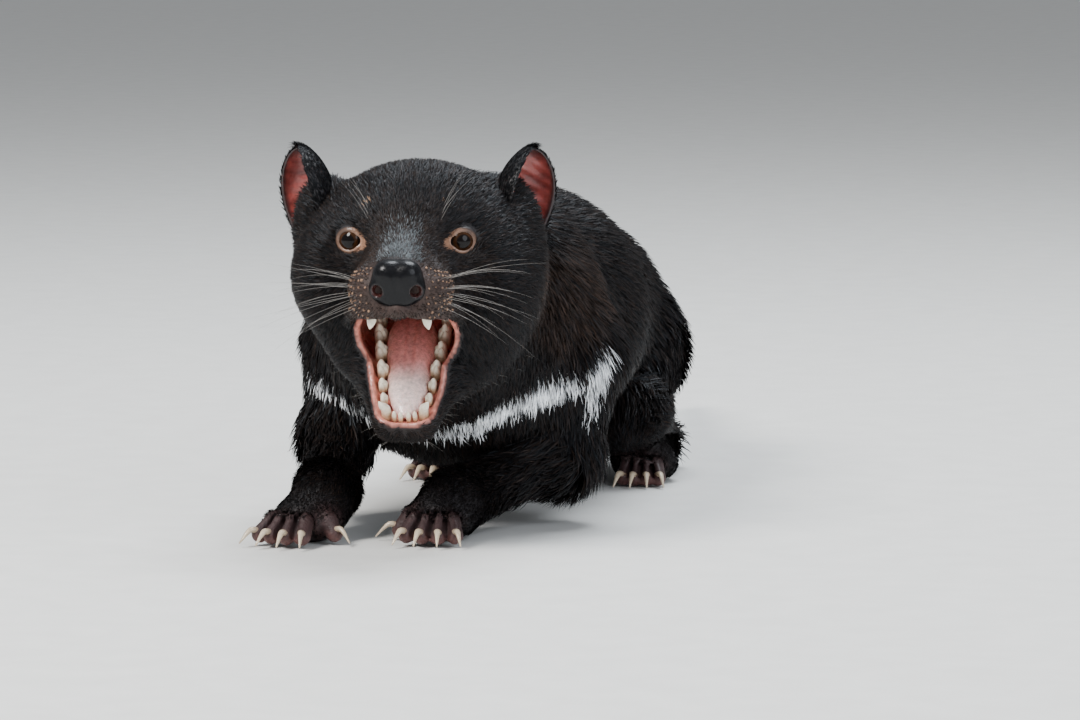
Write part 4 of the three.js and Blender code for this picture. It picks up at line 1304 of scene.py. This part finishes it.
def on_skin(point, way):
    """Where a line from inside the skin leaves it."""
    way = np.asarray(way, float) / np.linalg.norm(way)
    t = np.linspace(0, 60, 241)[:, None]
    outside = np.nonzero(skin_form(point + way * t) > 0)[0]
    return point + way * t[outside[0]]


def pad_spot(side, azimuth, elevation):
    """A place on a whisker pad and the way out of it; azimuth 0 faces ahead, 90 outwards."""
    a, e = math.radians(azimuth), math.radians(elevation)
    out = HEAD.direction([side * math.sin(a) * math.cos(e), -math.cos(a) * math.cos(e), math.sin(e)])
    return on_skin(HEAD.place(mirror(PAD_CENTRE, side)), out), out


def pad_whiskers(side):
    """Four rows of long whiskers on a pad."""
    made = []
    for row in range(4):
        for step in range(5):
            azimuth, elevation = 34 + 13 * step + rng.normal(0, 2), 20 - 16 * row + rng.normal(0, 2)
            root, out = pad_spot(side, azimuth, elevation)
            way = out * 0.5 + HEAD.direction([side * 0.8, 0.12 + 0.08 * step, 0.22 - 0.14 * row])
            way = way + rng.normal(0, 0.05, 3)
            way = way / np.linalg.norm(way)
            made.append(whisker(root - out * 0.5, way, rng.uniform(26, 54), rng.uniform(0.02, 0.28)))
    return made


def pad_beds(side):
    """The pale spots on a pad, in rows set between one another."""
    made = []
    for row in range(8):
        for step in range(9):
            azimuth = 4 + 10.5 * step + 5 * (row % 2) + rng.normal(0, 1.2)
            root, out = pad_spot(side, azimuth, 38 - 11 * row + rng.normal(0, 1.2))
            if join(root[None], NOSE)[0] < 1.2:
                continue
            size = rng.uniform(0.42, 0.8)
            path = [root - out * 0.8, root, root + out * 0.55 * size]
            points, faces = tube(path, [size, size, 0.5 * size], 8)
            paint = colour(PAD_TAN, len(points))
            made.append((points, faces, blend_colour(paint, PAD_BROWN, np.full(len(points), rng.random()))))
    return made


def brow_whiskers(side):
    """A few hairs standing up over an eye."""
    made = []
    for step in range(4):
        root = on_skin(HEAD.place([side * 18, -10 + 4 * step, 6]), HEAD.direction([side * 0.1, -0.5, 1.0]))
        way = unit_of(HEAD.direction([side * 0.5, -0.1, 1.0]) + rng.normal(0, 0.1, 3))
        made.append(whisker(root, way, rng.uniform(18, 32), 0.2, BROW_RADIUS))
    return made


def chin_hairs(side):
    """Short hairs along the lower lip."""
    made = []
    for step in range(34):
        y = -46 + 2.3 * step + rng.normal(0, 0.8)
        start = JAW.place([side * (9 + 0.2 * (y + 46)), y, -47 - rng.uniform(0, 8)])
        way = np.array([side * 1.0, -0.35 if y < -34 else 0.15, -0.25]) + rng.normal(0, 0.15, 3)
        out = JAW.direction(way)
        root = on_skin(start, out)
        way = unit_of(out + rng.normal(0, 0.15, 3))
        made.append(whisker(root, way, rng.uniform(5, 11), 0.15))
    return made


def whiskers():
    hairs, beds = [], []
    for side in BOTH:
        hairs += pad_whiskers(side)
        beds += pad_beds(side)
        hairs += brow_whiskers(side)
        hairs += chin_hairs(side)
    points, faces, _ = merge(hairs)
    make_piece("whiskers", points, faces, whisker_material)
    points, faces, paint = merge(beds)
    make_piece("whisker_beds", points, faces, skin_material, paint)


# Floor, light and camera

FLOOR_HALF = 40.0
LIGHTS = {  # place, aim, size, power and colour
    "key": ((-1.0, -1.6, 1.9), (0, -0.15, 0.12), 1.0, 85, (1.0, 0.98, 0.95)),
    "fill": ((1.6, -1.3, 1.0), (0, -0.15, 0.1), 1.6, 26, (0.88, 0.93, 1.0)),
    "top": ((0.3, 0.6, 2.2), (0, -0.05, 0.1), 1.4, 70, (0.9, 0.95, 1.0)),
}
SKY = (0.85, 0.88, 0.92, 1)
SKY_STRENGTH = 0.42


def plain_floor():
    mesh = bpy.data.meshes.new("floor")
    s = FLOOR_HALF
    mesh.from_pydata([(-s, -s, 0), (s, -s, 0), (s, s, 0), (-s, s, 0)], [], [(0, 1, 2, 3)])
    mesh.materials.append(surface("floor", tint=(0.74, 0.74, 0.72), roughness=(0.6, 0.75), grain=40,
                                  mottle=(0.97, 1.03), bump=0.1, bump_scale=300, bump_depth=0.0003))
    add_object("floor", mesh)


def look_along(item, way):
    item.rotation_euler = Vector(way).to_track_quat("-Z", "Y").to_euler()


def area_light(name, place, aim, size, power, tint):
    light = bpy.data.lights.new(name, "AREA")
    light.shape = "DISK"
    light.size = size
    light.energy = power
    light.color = tint
    lamp = add_object(name, light)
    lamp.location = place
    look_along(lamp, Vector(aim) - Vector(place))


def sky():
    world = bpy.data.worlds.new("studio")
    world.use_nodes = True
    set_inputs(world.node_tree.nodes["Background"], Color=SKY, Strength=SKY_STRENGTH)
    bpy.context.scene.world = world


def photo_camera():
    """The photograph's view, with the eyes at the same place in the picture."""
    a, e = math.radians(CAMERA_AZIMUTH), math.radians(CAMERA_ELEVATION)
    right = np.array([math.cos(a), math.sin(a), 0])
    forward = np.array([-math.sin(a) * math.cos(e), math.cos(a) * math.cos(e), -math.sin(e)])
    up = np.cross(right, forward)
    across = (PHOTO_SIZE[0] / 2 - PHOTO_EYES[0]) * MM_PER_PIXEL
    rise = (PHOTO_EYES[1] - PHOTO_SIZE[1] / 2) * MM_PER_PIXEL
    data = bpy.data.cameras.new("camera")
    data.sensor_width = SENSOR
    data.lens = SENSOR * CAMERA_DISTANCE / (PHOTO_SIZE[0] * MM_PER_PIXEL)
    data.clip_end = 100
    camera = add_object("camera", data)
    camera.location = (EYES - CAMERA_DISTANCE * forward + across * right + rise * up + SHIFT) / 1000
    look_along(camera, forward)
    bpy.context.scene.camera = camera


skin_parts = skin()
eyes()
nose()
tongue()
teeth()
claws()
ears()
coat(*skin_parts)
ear_coat()
whiskers()
plain_floor()
for light_name, settings in LIGHTS.items():
    area_light(light_name, *settings)
sky()
photo_camera()
